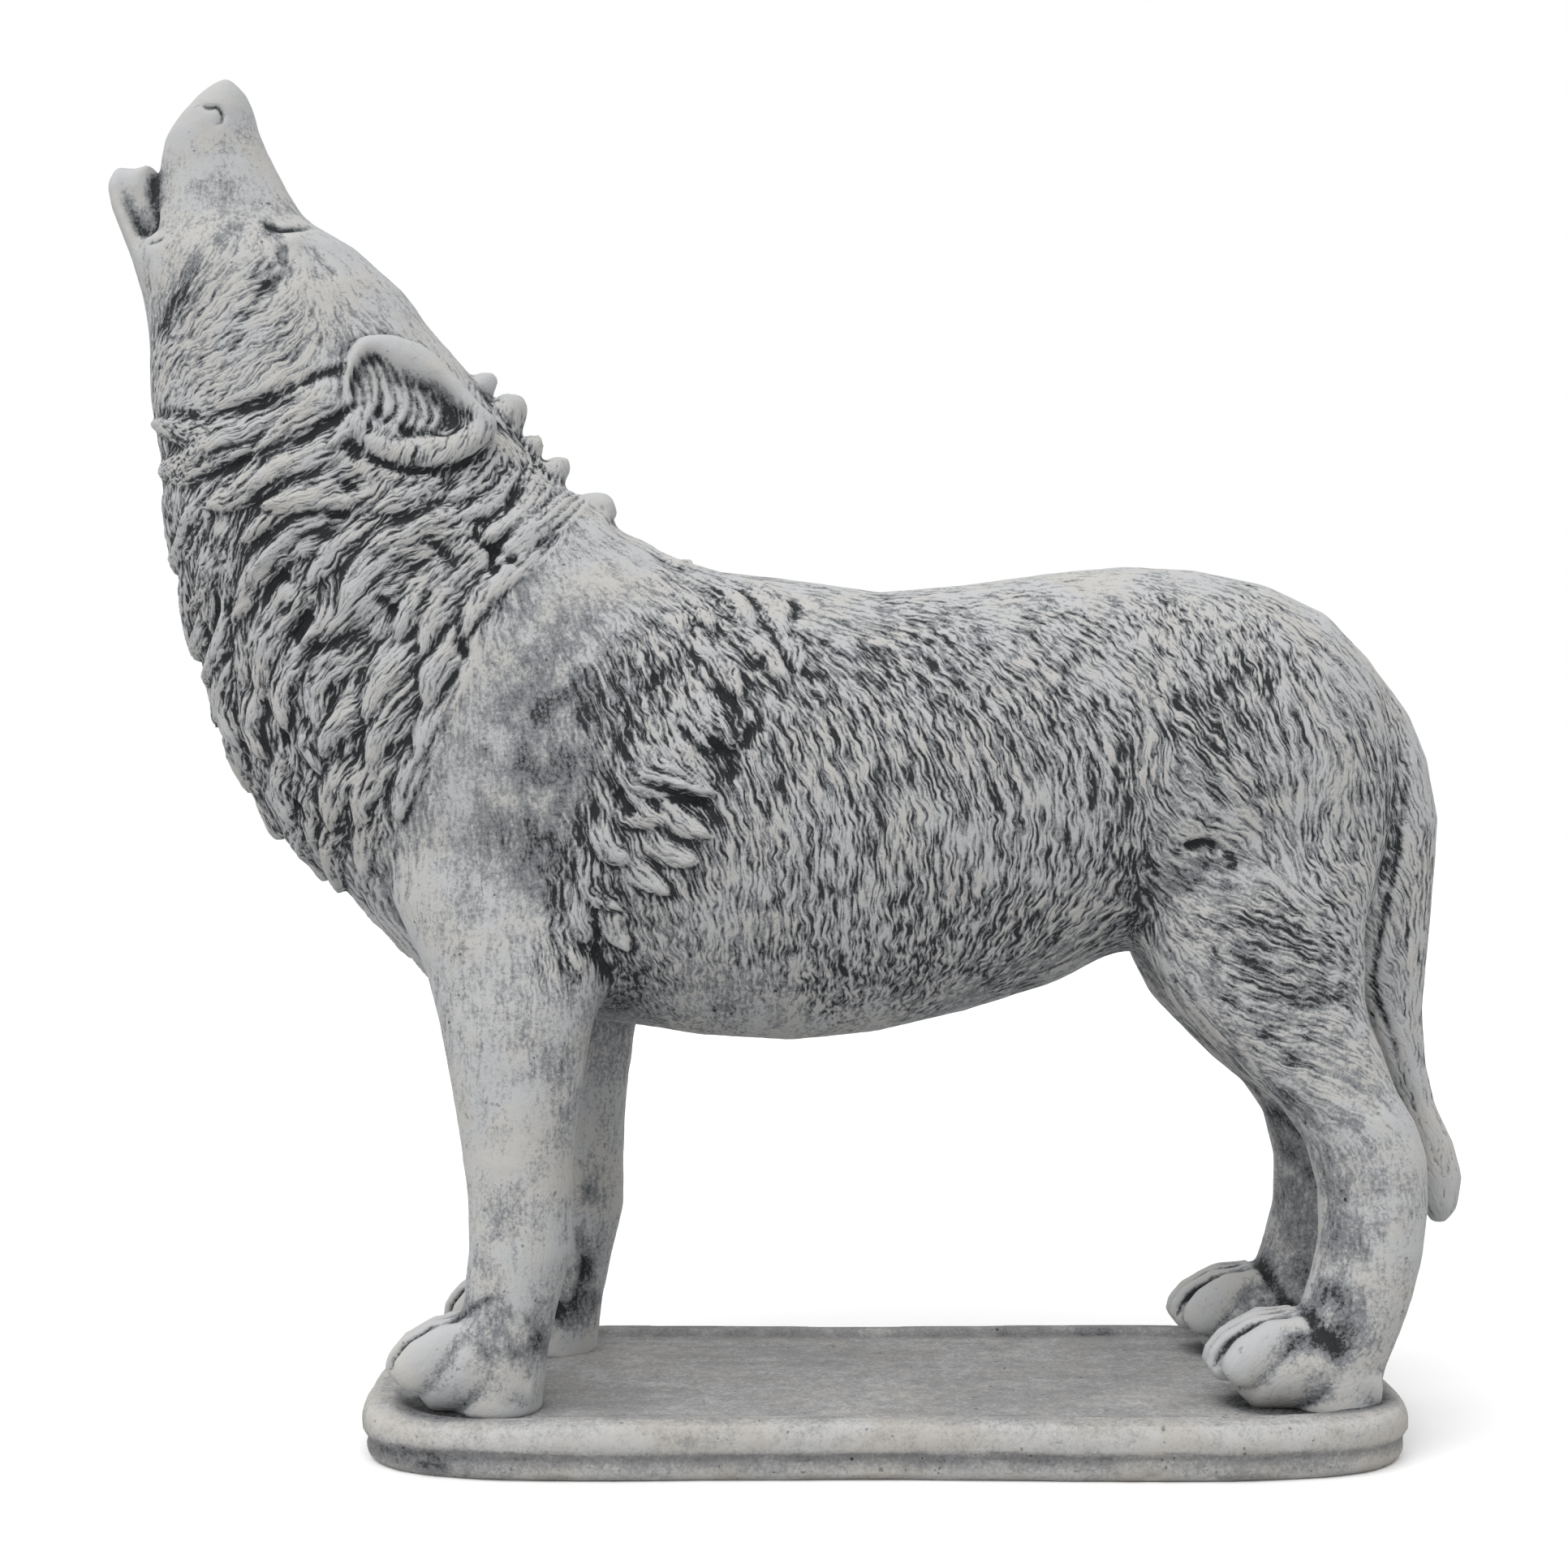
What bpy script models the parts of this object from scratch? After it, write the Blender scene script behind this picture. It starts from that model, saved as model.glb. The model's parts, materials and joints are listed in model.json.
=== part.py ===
"""A howling wolf in cast stone, standing on its own slab and cast with it in one piece."""

import math

import bpy
import numpy as np
from mathutils import Matrix, Vector

# The wolf, from the top of the slab to the tip of its nose
WOLF_HEIGHT = 0.767
TABLE_HEIGHT = 767
BODY_WIDTH = 0.182
TABLE_WIDTH = 182
STANCE = 0.148
HIND_STANCE = 0.136

# The slab, lying flat on the ground, with what it leaves free round the paws
SLAB_THICKNESS = 0.033
SLAB_MARGIN_FRONT = 0.017
SLAB_MARGIN_BACK = 0.017
SLAB_MARGIN_SIDE = 0.027
SLAB_LIP = 0.008
SLAB_LIP_BULGE = 0.0024
SLAB_STEP = 0.003
SLAB_FOOT = 0.004
SLAB_LEDGE_LOW = 0.015
SLAB_LEDGE_HIGH = 0.0165
SLAB_CORNER_POWER = 5
SLAB_POINTS = 80
SLAB_DISH = 0.0035
SLAB_RIM = 0.009
SLAB_RIM_SLOPE = 0.006

# Paws and toes
PAW_WIDTH = 0.058
PAW_SINK = 0.006
FAR_FORELEG_BACK = 0.020
FAR_FOREPAW_BACK = 0.013
TOES = 4
TOE_LENGTH = 0.044
TOE_WIDTH = 0.0158
TOE_HEIGHT = 0.027
TOE_SETBACK = 3.2
TOE_GATHER = 0.25

# Head
EYE_SIZE = 0.017
MOUTH_LENGTH = 0.046
MOUTH_WIDTH = 0.028
MOUTH_DEPTH = 0.013
MOUTH_LEAN = -14
EAR_LENGTH = 0.090
EAR_WIDTH = 0.077
EAR_HOLLOW_DEPTH = 0.010
EAR_RIM_RISE = 0.005
EAR_THICKNESS = 0.022
EAR_STANDS_OFF = 0.005
EAR_OPENS_ASIDE = 1.1
EAR_CLEARANCE = 0.050

# Mane and shoulder locks
LOCK_LENGTH = 0.060
LOCK_WIDTH = 0.021
LOCK_THICKNESS = 0.013
LOCK_ROWS = 11
LOCK_SPACING = 0.030
LOCK_SLANT = 0.82
LOCK_STAGGER = 0.25
LOCK_DROP_LIMIT = 1.9
LOCK_SLANT_LIMIT = 0.95
LOCK_SLANT_VARIES = 0.3
LOCK_LENGTH_VARIES = 0.3
LOCK_WIDTH_VARIES = 0.4
LOCK_BEND = 0.6
LOCK_APART = 0.020

# Surface
VOXEL = 0.0032
SMOOTH_ROUNDS = 2
WOLF_TRIANGLES = 10300
RING_POINTS = 32

STONE_COLOUR = (0.42, 0.42, 0.41, 1)
STONE_ROUGHNESS = 0.85

# The tables below are in millimetres: x from the slab's middle, with the wolf facing -x,
# and z above the slab's top. A slice runs from its first point to its second, and the last
# number is half its width across the wolf.
TRUNK = [
    (306, 385, 300, 300, 22),
    (290, 424, 284, 262, 50),
    (262, 450, 256, 248, 70),
    (228, 466, 224, 245, 80),
    (185, 475, 183, 247, 84),
    (142, 477, 142, 249, 84),
    (100, 473, 100, 229, 84),
    (50, 466, 48, 213, 86),
    (0, 462, -4, 201, 88),
    (-50, 469, -52, 196, 90),
    (-95, 474, -104, 199, 91),
    (-128, 484, -158, 206, 90),
    (-150, 497, -210, 214, 89),
    (-160, 505, -262, 232, 86),
    (-170, 512, -308, 276, 82),
    (-184, 522, -352, 316, 80),
    (-200, 536, -386, 372, 78),
    (-216, 554, -406, 432, 77),
    (-232, 574, -420, 488, 76),
    (-246, 594, -427, 536, 72),
    (-262, 613, -432, 576, 66),
    (-284, 641, -434, 612, 60),
    (-312, 666, -437, 636, 54),
    (-336, 680, -443, 656, 44),
    (-345, 688, -445, 666, 34),
]
MUZZLE = [
    (-330, 668, -436, 650, 40),
    (-343, 686, -434, 676, 34),
    (-352, 700, -431, 690, 29),
    (-360, 715, -428, 705, 26),
    (-366, 727, -427, 718, 24.5),
    (-370, 738, -424, 732, 24),
    (-373, 749, -415, 745, 22),
    (-377, 758, -404, 757, 17),
    (-382, 763, -396, 763, 12),
    (-386, 767, -391, 767, 4),
]
JAW = [
    (-400, 600, -429, 600, 34),
    (-408, 622, -432, 624, 31),
    (-416, 642, -438, 643, 28),
    (-426, 657, -443, 658, 26),
    (-434, 672, -449, 673, 23.5),
    (-441, 686, -455, 688, 21),
    (-444, 700, -458, 702, 18.5),
    (-444, 709, -455, 711, 14),
    (-446, 716, -450, 717, 6),
]
TONGUE = [
    (-420, 655, 22, 22),
    (-432, 682, 22, 19),
    (-439, 700, 20, 15),
    (-442, 710, 13, 8),
]
TAIL = [
    (255, 400, 293, 420, 24),
    (265, 375, 312, 395, 26),
    (275, 350, 325, 362, 26),
    (283, 322, 331, 327, 25),
    (285, 290, 329, 293, 25),
    (288, 250, 325, 252, 24),
    (292, 215, 322, 215, 22),
    (298, 185, 324, 182, 18),
    (306, 160, 330, 157, 15),
    (313, 140, 340, 137, 15),
    (318, 117, 346, 115, 14),
    (322, 98, 343, 96, 12),
    (328, 87, 336, 87, 6),
]
# Legs and paws run down to 0, and from there a little way into the slab. A leg's slice also
# gives its middle's distance from the wolf's middle, as a share of half the stance
FORELEG = [
    (-280, 362, -172, 366, 24, 0.48),
    (-292, 330, -155, 330, 34, 0.54),
    (-282, 280, -152, 280, 36, 0.64),
    (-262, 240, -158, 236, 36, 0.74),
    (-254, 214, -165, 208, 35, 0.82),
    (-250, 196, -169, 190, 33, 0.86),
    (-245, 171, -173, 171, 31, 0.9),
    (-240, 143, -176, 143, 29, 0.94),
    (-236, 114, -177, 114, 28, 0.97),
    (-235, 86, -177, 86, 28, 1),
    (-238, 57, -184, 57, 28, 1),
    (-240, 30, -190, 30, 28, 1),
    (-242, 0, -194, 0, 27, 1),
]
HINDLEG = [
    (172, 352, 262, 366, 22, 0.46),
    (158, 326, 276, 340, 34, 0.5),
    (150, 300, 284, 318, 39, 0.54),
    (146, 276, 286, 298, 40, 0.58),
    (150, 250, 279, 262, 38, 0.64),
    (163, 224, 278, 225, 34, 0.7),
    (184, 203, 285, 198, 32, 0.76),
    (206, 181, 293, 173, 30, 0.82),
    (226, 165, 303, 156, 29, 0.87),
    (240, 145, 309, 136, 28, 0.91),
    (247, 118, 309, 110, 27, 0.95),
    (247, 90, 306, 82, 27, 0.98),
    (242, 68, 299, 57, 28, 1),
    (235, 46, 292, 38, 29, 1),
    (232, 20, 284, 19, 28, 1),
    (230, 0, 278, 0, 27, 1),
]
# A paw's slice runs from its upper point to its lower one, and its last number is a share of
# the paw's half width
FOREPAW = [
    (-262, 20, -262, 2, 0.6),
    (-254, 33, -255, 0, 0.8),
    (-244, 46, -246, 0, 0.92),
    (-234, 54, -236, 0, 0.98),
    (-222, 52, -224, 0, 0.97),
    (-206, 38, -207, 0, 0.9),
    (-197, 22, -197, 0, 0.7),
]
HINDPAW = [
    (201, 20, 201, 2, 0.6),
    (209, 33, 209, 0, 0.8),
    (219, 44, 218, 0, 0.92),
    (230, 51, 230, 0, 0.98),
    (248, 50, 248, 0, 0.97),
    (268, 40, 268, 0, 0.9),
    (279, 24, 279, 0, 0.7),
]
FOREPAW_TIP = (-279, 14)
HINDPAW_TIP = (184, 15)
PAW_KNUCKLE_RISE = 24

# Seen from 1.5 m off, what lies on the near side looks larger about this middle than it is. The
# locks, creases, eyes and ears below are given as they are seen
SEEN_SHARE = 0.955
SEEN_MIDDLE = (-57, 348)

# Tufts that stand out along the nape: root x and z, tip x and z, and thickness at the root
NAPE_TUFT_FLATNESS = 1.3
NAPE_TUFTS = [
    (-262, 590, -231, 587, 17),
    (-248, 572, -215, 570, 20),
    (-236, 556, -203, 551, 18),
    (-226, 540, -190, 540, 18),
    (-206, 504, -166, 517, 27),
]

# The mane's main locks, on both sides: x and z of root, middle and tip, and width
MANE_LOCKS = [
    (-335, 585, -390, 562, -432, 562, 24),
    (-345, 573, -400, 545, -436, 533, 24),
    (-318, 573, -347, 560, -374, 541, 24),
    (-352, 547, -377, 527, -404, 512, 20),
    (-378, 543, -399, 521, -418, 497, 20),
    (-300, 533, -333, 521, -368, 513, 22),
    (-314, 507, -341, 497, -372, 475, 22),
    (-350, 501, -370, 474, -386, 443, 18),
    (-398, 519, -414, 495, -423, 469, 20),
    (-385, 503, -400, 475, -410, 451, 18),
    (-258, 497, -296, 482, -322, 449, 26),
    (-262, 479, -302, 462, -334, 431, 24),
    (-236, 491, -267, 466, -288, 433, 22),
    (-286, 515, -317, 492, -340, 465, 20),
    (-330, 479, -328, 454, -346, 429, 16),
    (-346, 463, -365, 434, -366, 397, 20),
    (-366, 419, -374, 390, -364, 363, 18),
    (-344, 423, -338, 396, -344, 367, 16),
    (-290, 407, -318, 388, -331, 363, 20),
    (-350, 369, -357, 346, -347, 323, 19),
    (-404, 471, -403, 444, -412, 417, 17),
    (-386, 463, -393, 432, -400, 403, 17),
    (-416, 483, -420, 457, -412, 431, 18),
    (-408, 433, -407, 405, -395, 379, 19),
    (-384, 427, -390, 396, -378, 369, 19),
    (-298, 441, -326, 420, -342, 393, 20),
    (-266, 441, -293, 416, -306, 383, 22),
    (-266, 411, -291, 386, -304, 353, 22),
    (-248, 421, -267, 393, -274, 361, 18),
    (-308, 371, -324, 347, -325, 319, 20),
    (-282, 379, -303, 352, -310, 321, 20),
    (-264, 381, -280, 356, -286, 325, 17),
    (-332, 357, -341, 333, -334, 309, 17),
    (-381, 391, -384, 366, -370, 343, 19),
    (-368, 363, -368, 338, -353, 315, 19),
    (-316, 331, -327, 308, -318, 285, 18),
    (-298, 341, -308, 317, -305, 291, 17),
    (-345, 327, -344, 307, -330, 287, 19),
    (-222, 565, -234, 537, -258, 517, 18),
    (-206, 557, -221, 528, -250, 505, 20),
    (-192, 539, -211, 515, -238, 491, 20),
    (-176, 525, -201, 504, -230, 477, 20),
    (-190, 505, -214, 483, -236, 455, 18),
    (-252, 541, -272, 523, -302, 510, 20),
    (-234, 521, -261, 505, -290, 491, 20),
    (-210, 489, -233, 466, -248, 435, 18),
]

# Locks over the shoulder, given in the same way
SHOULDER_LOCKS = [
    (-134, 475, -116, 462, -98, 437, 18),
    (-116, 473, -91, 461, -74, 437, 17),
    (-92, 471, -67, 458, -56, 433, 16),
    (-113, 453, -100, 428, -81, 397, 17),
    (-96, 449, -73, 432, -54, 407, 17),
    (-121, 431, -108, 398, -86, 369, 22),
    (-138, 417, -129, 384, -98, 341, 24),
    (-156, 377, -145, 354, -97, 343, 20),
    (-160, 359, -151, 338, -128, 323, 20),
    (-132, 351, -121, 331, -100, 317, 18),
    (-168, 341, -164, 316, -146, 301, 18),
    (-152, 317, -144, 298, -124, 283, 17),
    (-172, 317, -171, 291, -152, 273, 19),
    (-178, 301, -180, 275, -172, 247, 18),
    (-162, 287, -160, 267, -148, 249, 17),
]

# Creases pressed into the finished skin, on both sides: depth, half width, then x and z along it
CREASES = [
    (5.0, 7, (-432, 573), (-400, 567), (-368, 580), (-338, 593), (-320, 600)),
    (3.5, 4, (-366, 683), (-357, 681), (-338, 676)),
    (3.0, 4, (-361, 666), (-348, 658), (-340, 660)),
    (5.0, 5, (-310, 551), (-292, 538), (-272, 533), (-250, 538), (-234, 550)),
    (5.0, 6, (-352, 477), (-362, 469), (-374, 457)),
    (4.0, 5, (-312, 508), (-330, 510), (-350, 508)),
    (5.5, 6, (-99, 381), (-94, 370), (-88, 353)),
    (5.5, 6, (-131, 347), (-121, 343), (-104, 333)),
    (8.0, 6, (177, 308), (185, 312), (196, 311), (205, 307)),
    (4.0, 5, (316, 372), (307, 297), (298, 257), (295, 219), (306, 191), (319, 155)),
]

# The mane hangs between these slices of the trunk, counted from the rump
MANE_TOP = 20.3
MANE_BOTTOM = 14.6

# The ear's outer edge and the edge of its hollow, in shares of its length and width
EAR_EDGE = [
    (-0.51, 0.04), (-0.49, 0.31), (-0.32, 0.51), (-0.13, 0.51), (0.09, 0.40), (0.28, 0.21), (0.41, 0.01),
    (0.49, -0.15), (0.43, -0.28), (0.28, -0.42), (0.13, -0.48), (-0.04, -0.49), (-0.21, -0.43),
    (-0.36, -0.31), (-0.47, -0.15),
]
EAR_HOLLOW = [
    (-0.43, 0.04), (-0.41, 0.23), (-0.30, 0.36), (-0.14, 0.33), (0.02, 0.23), (0.13, 0.11), (0.22, -0.02),
    (0.29, -0.12), (0.26, -0.19), (0.17, -0.23), (0.06, -0.26), (-0.06, -0.27), (-0.19, -0.25),
    (-0.32, -0.17), (-0.39, -0.09),
]
# Rings from the hollow's floor over the rim to the ear's back: size, then the way from the
# hollow's edge to the outer one, then height as shares of the hollow, the rim and the thickness
EAR_RINGS = [
    (0.05, 0, -1, 0, 0),
    (0.45, 0, -0.95, 0, 0),
    (0.80, 0, -0.7, 0, 0),
    (1, 0, -0.2, 0, 0),
    (1, 0.28, 0, 0.7, 0),
    (1, 0.55, 0, 1, 0),
    (1, 0.80, 0, 0.7, 0),
    (1, 1, 0, 0, -0.05),
    (1, 1, 0, 0, -0.36),
    (0.95, 0.9, 0, 0, -0.73),
    (0.50, 0.5, 0, 0, -1),
    (0.05, 0, 0, 0, -1),
]

EYE_AT = (-350, 668)
EAR_AT = (-272, 576)
MOUTH_AT = (-441, 697)


def clear_scene():
    for thing in list(bpy.data.objects):
        bpy.data.objects.remove(thing)


def along(value_mm):
    """A length of the tables, for a wolf of the height set above."""
    return value_mm * WOLF_HEIGHT / TABLE_HEIGHT


def across(value_mm):
    """A width of the tables, for a body of the width set above."""
    return value_mm * BODY_WIDTH / TABLE_WIDTH


def place(x, y, z):
    """A point of the figure, from a table's x and z and a real distance from its middle."""
    return Vector((along(x), y, SLAB_THICKNESS + along(z)))


def unseen(x, z):
    """The real x and z of what is seen from the side at these on the wolf's near flank."""
    middle_x, middle_z = SEEN_MIDDLE
    return middle_x + (x - middle_x) * SEEN_SHARE, middle_z + (z - middle_z) * SEEN_SHARE


def skin(name, rings, collection):
    """A closed skin drawn through rings of points that all turn the same way."""
    count = len(rings[0])
    points = [p for ring in rings for p in ring]
    faces = [tuple(reversed(range(count))), tuple(range(len(points) - count, len(points)))]
    for r in range(len(rings) - 1):
        for i in range(count):
            j = (i + 1) % count
            a, b = r * count, (r + 1) * count
            faces.append((a + i, a + j, b + j, b + i))
    mesh = bpy.data.meshes.new(name)
    mesh.from_pydata(points, [], faces)
    made = bpy.data.objects.new(name, mesh)
    collection.objects.link(made)
    return made


def loft(name, rows, middles, widths, collection):
    """A form drawn through flat elliptical slices."""
    rings = []
    for row, middle_y, half in zip(rows, middles, widths):
        top, bottom = place(row[0], middle_y, row[1]), place(row[2], middle_y, row[3])
        bottom.z -= PAW_SINK if row[3] == 0 else 0
        top.z -= PAW_SINK if row[1] == 0 else 0
        middle, reach = (top + bottom) / 2, (top - bottom) / 2
        ring = []
        for i in range(RING_POINTS):
            angle = 2 * math.pi * i / RING_POINTS
            ring.append(middle + reach * math.cos(angle) + Vector((0, half * math.sin(angle), 0)))
        rings.append(ring)
    return skin(name, rings, collection)


def rope(name, path, ups, widths, heights, collection, sides=8):
    """A form drawn along a path, with its own width and height at each point."""
    rings = []
    for k, point in enumerate(path):
        ahead = (path[min(k + 1, len(path) - 1)] - path[max(k - 1, 0)]).normalized()
        aside = ahead.cross(ups[k]).normalized()
        up = aside.cross(ahead)
        ring = []
        for i in range(sides):
            angle = 2 * math.pi * i / sides
            ring.append(point + aside * (widths[k] / 2 * math.cos(angle)) + up * (heights[k] / 2 * math.sin(angle)))
        rings.append(ring)
    return skin(name, rings, collection)


def slice_at(t):
    """The trunk's slice at a place between two of the table's: its ends and its half width."""
    t = min(max(t, 0), len(TRUNK) - 1)
    low = min(int(t), len(TRUNK) - 2)
    share = t - low
    row = [a + (b - a) * share for a, b in zip(TRUNK[low], TRUNK[low + 1])]
    return place(row[0], 0, row[1]), place(row[2], 0, row[3]), across(row[4])


def on_trunk(t, turn):
    """A point on the trunk's skin. The turn is 0 on the back and pi on the belly or throat."""
    top, bottom, half = slice_at(t)
    middle, reach = (top + bottom) / 2, (top - bottom) / 2
    return middle + reach * math.cos(turn) + Vector((0, -half * math.sin(turn), 0))


def out_of_trunk(t, turn):
    """The direction that points straight out of the trunk's skin."""
    step = 0.02
    one = on_trunk(t + step, turn) - on_trunk(t - step, turn)
    two = on_trunk(t, turn + step) - on_trunk(t, turn - step)
    normal = one.cross(two).normalized()
    top, bottom, half = slice_at(t)
    return normal if normal.dot(on_trunk(t, turn) - (top + bottom) / 2) > 0 else -normal


def trunk_place(x, z):
    """The slice and the turn of the skin's point that lies at x and z seen from the side."""
    goal = place(x, 0, z)
    best = None
    for step in range(20, 10 * (len(TRUNK) - 1)):
        t = step / 10
        top, bottom, half = slice_at(t)
        line = bottom - top
        share = (goal - top).dot(line) / line.length_squared
        miss = (goal - top - line * share).length + max(0, -share, share - 1) * line.length
        if best is None or miss < best[0]:
            best = (miss, t, math.acos(min(1, max(-1, 1 - 2 * share))))
    return best[1], best[2]


def lock(name, start, middle, end, size, collection):
    """A tapered lock of hair lying on the trunk, its root sunk in and its tip standing off."""
    shares = [0, 0.2, 0.45, 0.7, 0.88, 1]
    swell = [0.55, 0.85, 1, 0.85, 0.5, 0.12]
    lift = [-0.45, -0.2, 0, 0.1, 0.12, 0.05]
    path, ups = [], []
    for share, rise in zip(shares, lift):
        weights = ((1 - share) ** 2, 2 * share * (1 - share), share ** 2)
        t, turn = (sum(w * place[k] for w, place in zip(weights, (start, middle, end))) for k in (0, 1))
        out = out_of_trunk(t, turn)
        path.append(on_trunk(t, turn) + out * (rise * LOCK_THICKNESS))
        ups.append(out)
    widths = [size * s for s in swell]
    heights = [LOCK_THICKNESS * s for s in swell]
    return rope(name, path, ups, widths, heights, collection)


def ellipsoid(name, middle, sizes, turn, collection):
    bpy.ops.mesh.primitive_uv_sphere_add(segments=32, ring_count=16, radius=0.5)
    made = bpy.context.object
    made.name = name
    made.data.transform(Matrix.Translation(middle) @ turn @ Matrix.Diagonal((*sizes, 1)))
    for holder in list(made.users_collection):
        holder.objects.unlink(made)
    collection.objects.link(made)
    return made


def applied(thing):
    """The mesh of an object with its modifiers, which are then removed."""
    bpy.context.view_layer.update()
    seen = thing.evaluated_get(bpy.context.evaluated_depsgraph_get())
    mesh = bpy.data.meshes.new_from_object(seen)
    thing.modifiers.clear()
    thing.data = mesh
    return thing


def cut(thing, cutter):
    change = thing.modifiers.new("cut", "BOOLEAN")
    change.operation = "DIFFERENCE"
    change.object = cutter
    applied(thing)


def move(thing, distance):
    thing.data.transform(Matrix.Translation((distance, 0, 0)))


def make_legs(forms):
    half_paw = PAW_WIDTH / 2
    for side, word in ((-1, "near"), (1, "far")):
        leg_back = FAR_FORELEG_BACK if side > 0 else 0
        paw_back = FAR_FOREPAW_BACK if side > 0 else 0
        limbs = (
            ("fore", STANCE / 2, FORELEG, FOREPAW, FOREPAW_TIP, leg_back, paw_back),
            ("hind", HIND_STANCE / 2, HINDLEG, HINDPAW, HINDPAW_TIP, 0, 0),
        )
        for kind, half_stance, leg, paw, tip, leg_shift, paw_shift in limbs:
            middles = [side * half_stance * r[5] for r in leg]
            made = loft(f"{kind}leg_{word}", leg, middles, [across(r[4]) for r in leg], forms)
            move(made, leg_shift)
            widths = [half_paw * r[4] for r in paw]
            made = loft(f"{kind}paw_{word}", paw, [side * half_stance] * len(paw), widths, forms)
            move(made, paw_shift)
            for toe in make_toes(f"{kind}toe_{word}", tip, side * half_stance, forms):
                move(toe, paw_shift)


def make_toes(name, tip, middle_y, forms):
    """The toes of one paw, side by side, with the outer ones set back."""
    pitch = (PAW_WIDTH - TOE_WIDTH) / (TOES - 1)
    toes = []
    for k in range(TOES):
        off = k - (TOES - 1) / 2
        back = TOE_SETBACK * off * off
        y = middle_y + off * pitch
        start = place(tip[0] + back, y, tip[1])
        rise = along(PAW_KNUCKLE_RISE)
        shares = [0, 0.1, 0.3, 0.6, 1]
        swell = [0.45, 0.85, 1.06, 1.02, 0.8]
        path = []
        for share in shares:
            high = rise * math.sin(share * math.pi / 2)
            path.append(start + Vector((TOE_LENGTH * share, -off * pitch * TOE_GATHER * share, high)))
        widths = [TOE_WIDTH * s for s in swell]
        heights = [TOE_HEIGHT * s for s in swell]
        ups = [Vector((0, 0, 1))] * len(path)
        toes.append(rope(f"{name}_{k}", path, ups, widths, heights, forms, 12))
    return toes


def make_head(forms, cutters):
    for name, rows in (("trunk", TRUNK), ("muzzle", MUZZLE), ("tail", TAIL)):
        loft(name, rows, [0] * len(rows), [across(r[4]) for r in rows], forms)
    jaw = loft("jaw", JAW, [0] * len(JAW), [across(r[4]) for r in JAW], forms)
    middle = place(MOUTH_AT[0], 0, MOUTH_AT[1])
    lean = Matrix.Rotation(math.radians(MOUTH_LEAN), 4, "Y")
    mouth = ellipsoid("mouth", middle, (MOUTH_DEPTH, MOUTH_WIDTH, MOUTH_LENGTH), lean, cutters)
    cut(jaw, mouth)
    path = [place(x, 0, z) for x, z, wide, deep in TONGUE]
    ups = [Vector((1, 0, 0))] * len(TONGUE)
    widths, heights = [across(r[2]) for r in TONGUE], [along(r[3]) for r in TONGUE]
    rope("tongue", path, ups, widths, heights, forms, 16)
    for side in (-1, 1):
        make_ear(side, forms)
        t, turn = trunk_place(*unseen(*EYE_AT))
        sizes = (EYE_SIZE, EYE_SIZE, EYE_SIZE)
        ellipsoid("eye", on_trunk(t, -side * turn), sizes, Matrix.Identity(4), forms)


def ear_frame(side):
    """Where an ear sits: its middle, and its directions to the tip, up and out."""
    t, turn = trunk_place(*unseen(*EAR_AT))
    out = out_of_trunk(t, -side * turn)
    out = (out + Vector((0, side * EAR_OPENS_ASIDE, 0))).normalized()
    ahead, up = Vector((1, 0, 0)), Vector((0, 0, 1))
    ahead = (ahead - out * ahead.dot(out)).normalized()
    up = (up - out * up.dot(out)).normalized()
    return on_trunk(t, -side * turn) + out * EAR_STANDS_OFF, ahead, up, out


def make_ear(side, forms):
    """A cupped ear laid back along the neck, open to the side, with a broad rolled rim."""
    middle, ahead, up, out = ear_frame(side)
    rings = []
    for size, way, deep, risen, back in EAR_RINGS:
        high = deep * EAR_HOLLOW_DEPTH + risen * EAR_RIM_RISE + back * EAR_THICKNESS
        ring = []
        for (inner_u, inner_v), (outer_u, outer_v) in zip(EAR_HOLLOW, EAR_EDGE):
            u = size * (inner_u + (outer_u - inner_u) * way)
            v = size * (inner_v + (outer_v - inner_v) * way)
            ring.append(middle + ahead * u * EAR_LENGTH + up * v * EAR_WIDTH + out * high)
        rings.append(ring if side > 0 else ring[::-1])
    skin("ear", rings, forms)


def make_drawn_locks(side, forms):
    """The locks whose places are given, and points along them."""
    taken = []
    for k, (x0, z0, x1, z1, x2, z2, width) in enumerate(MANE_LOCKS + SHOULDER_LOCKS):
        spots = [trunk_place(*unseen(x, z)) for x, z in ((x0, z0), (x1, z1), (x2, z2))]
        spots = [(t, -side * turn) for t, turn in spots]
        # the curve's middle point pulls it only half way, so it is set twice as far out
        bend = [2 * spots[1][i] - (spots[0][i] + spots[2][i]) / 2 for i in (0, 1)]
        lock(f"drawn_{k}_{side}", spots[0], bend, spots[2], along(width), forms)
        taken += [on_trunk(*spot) for spot in spots]
    return taken


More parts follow.
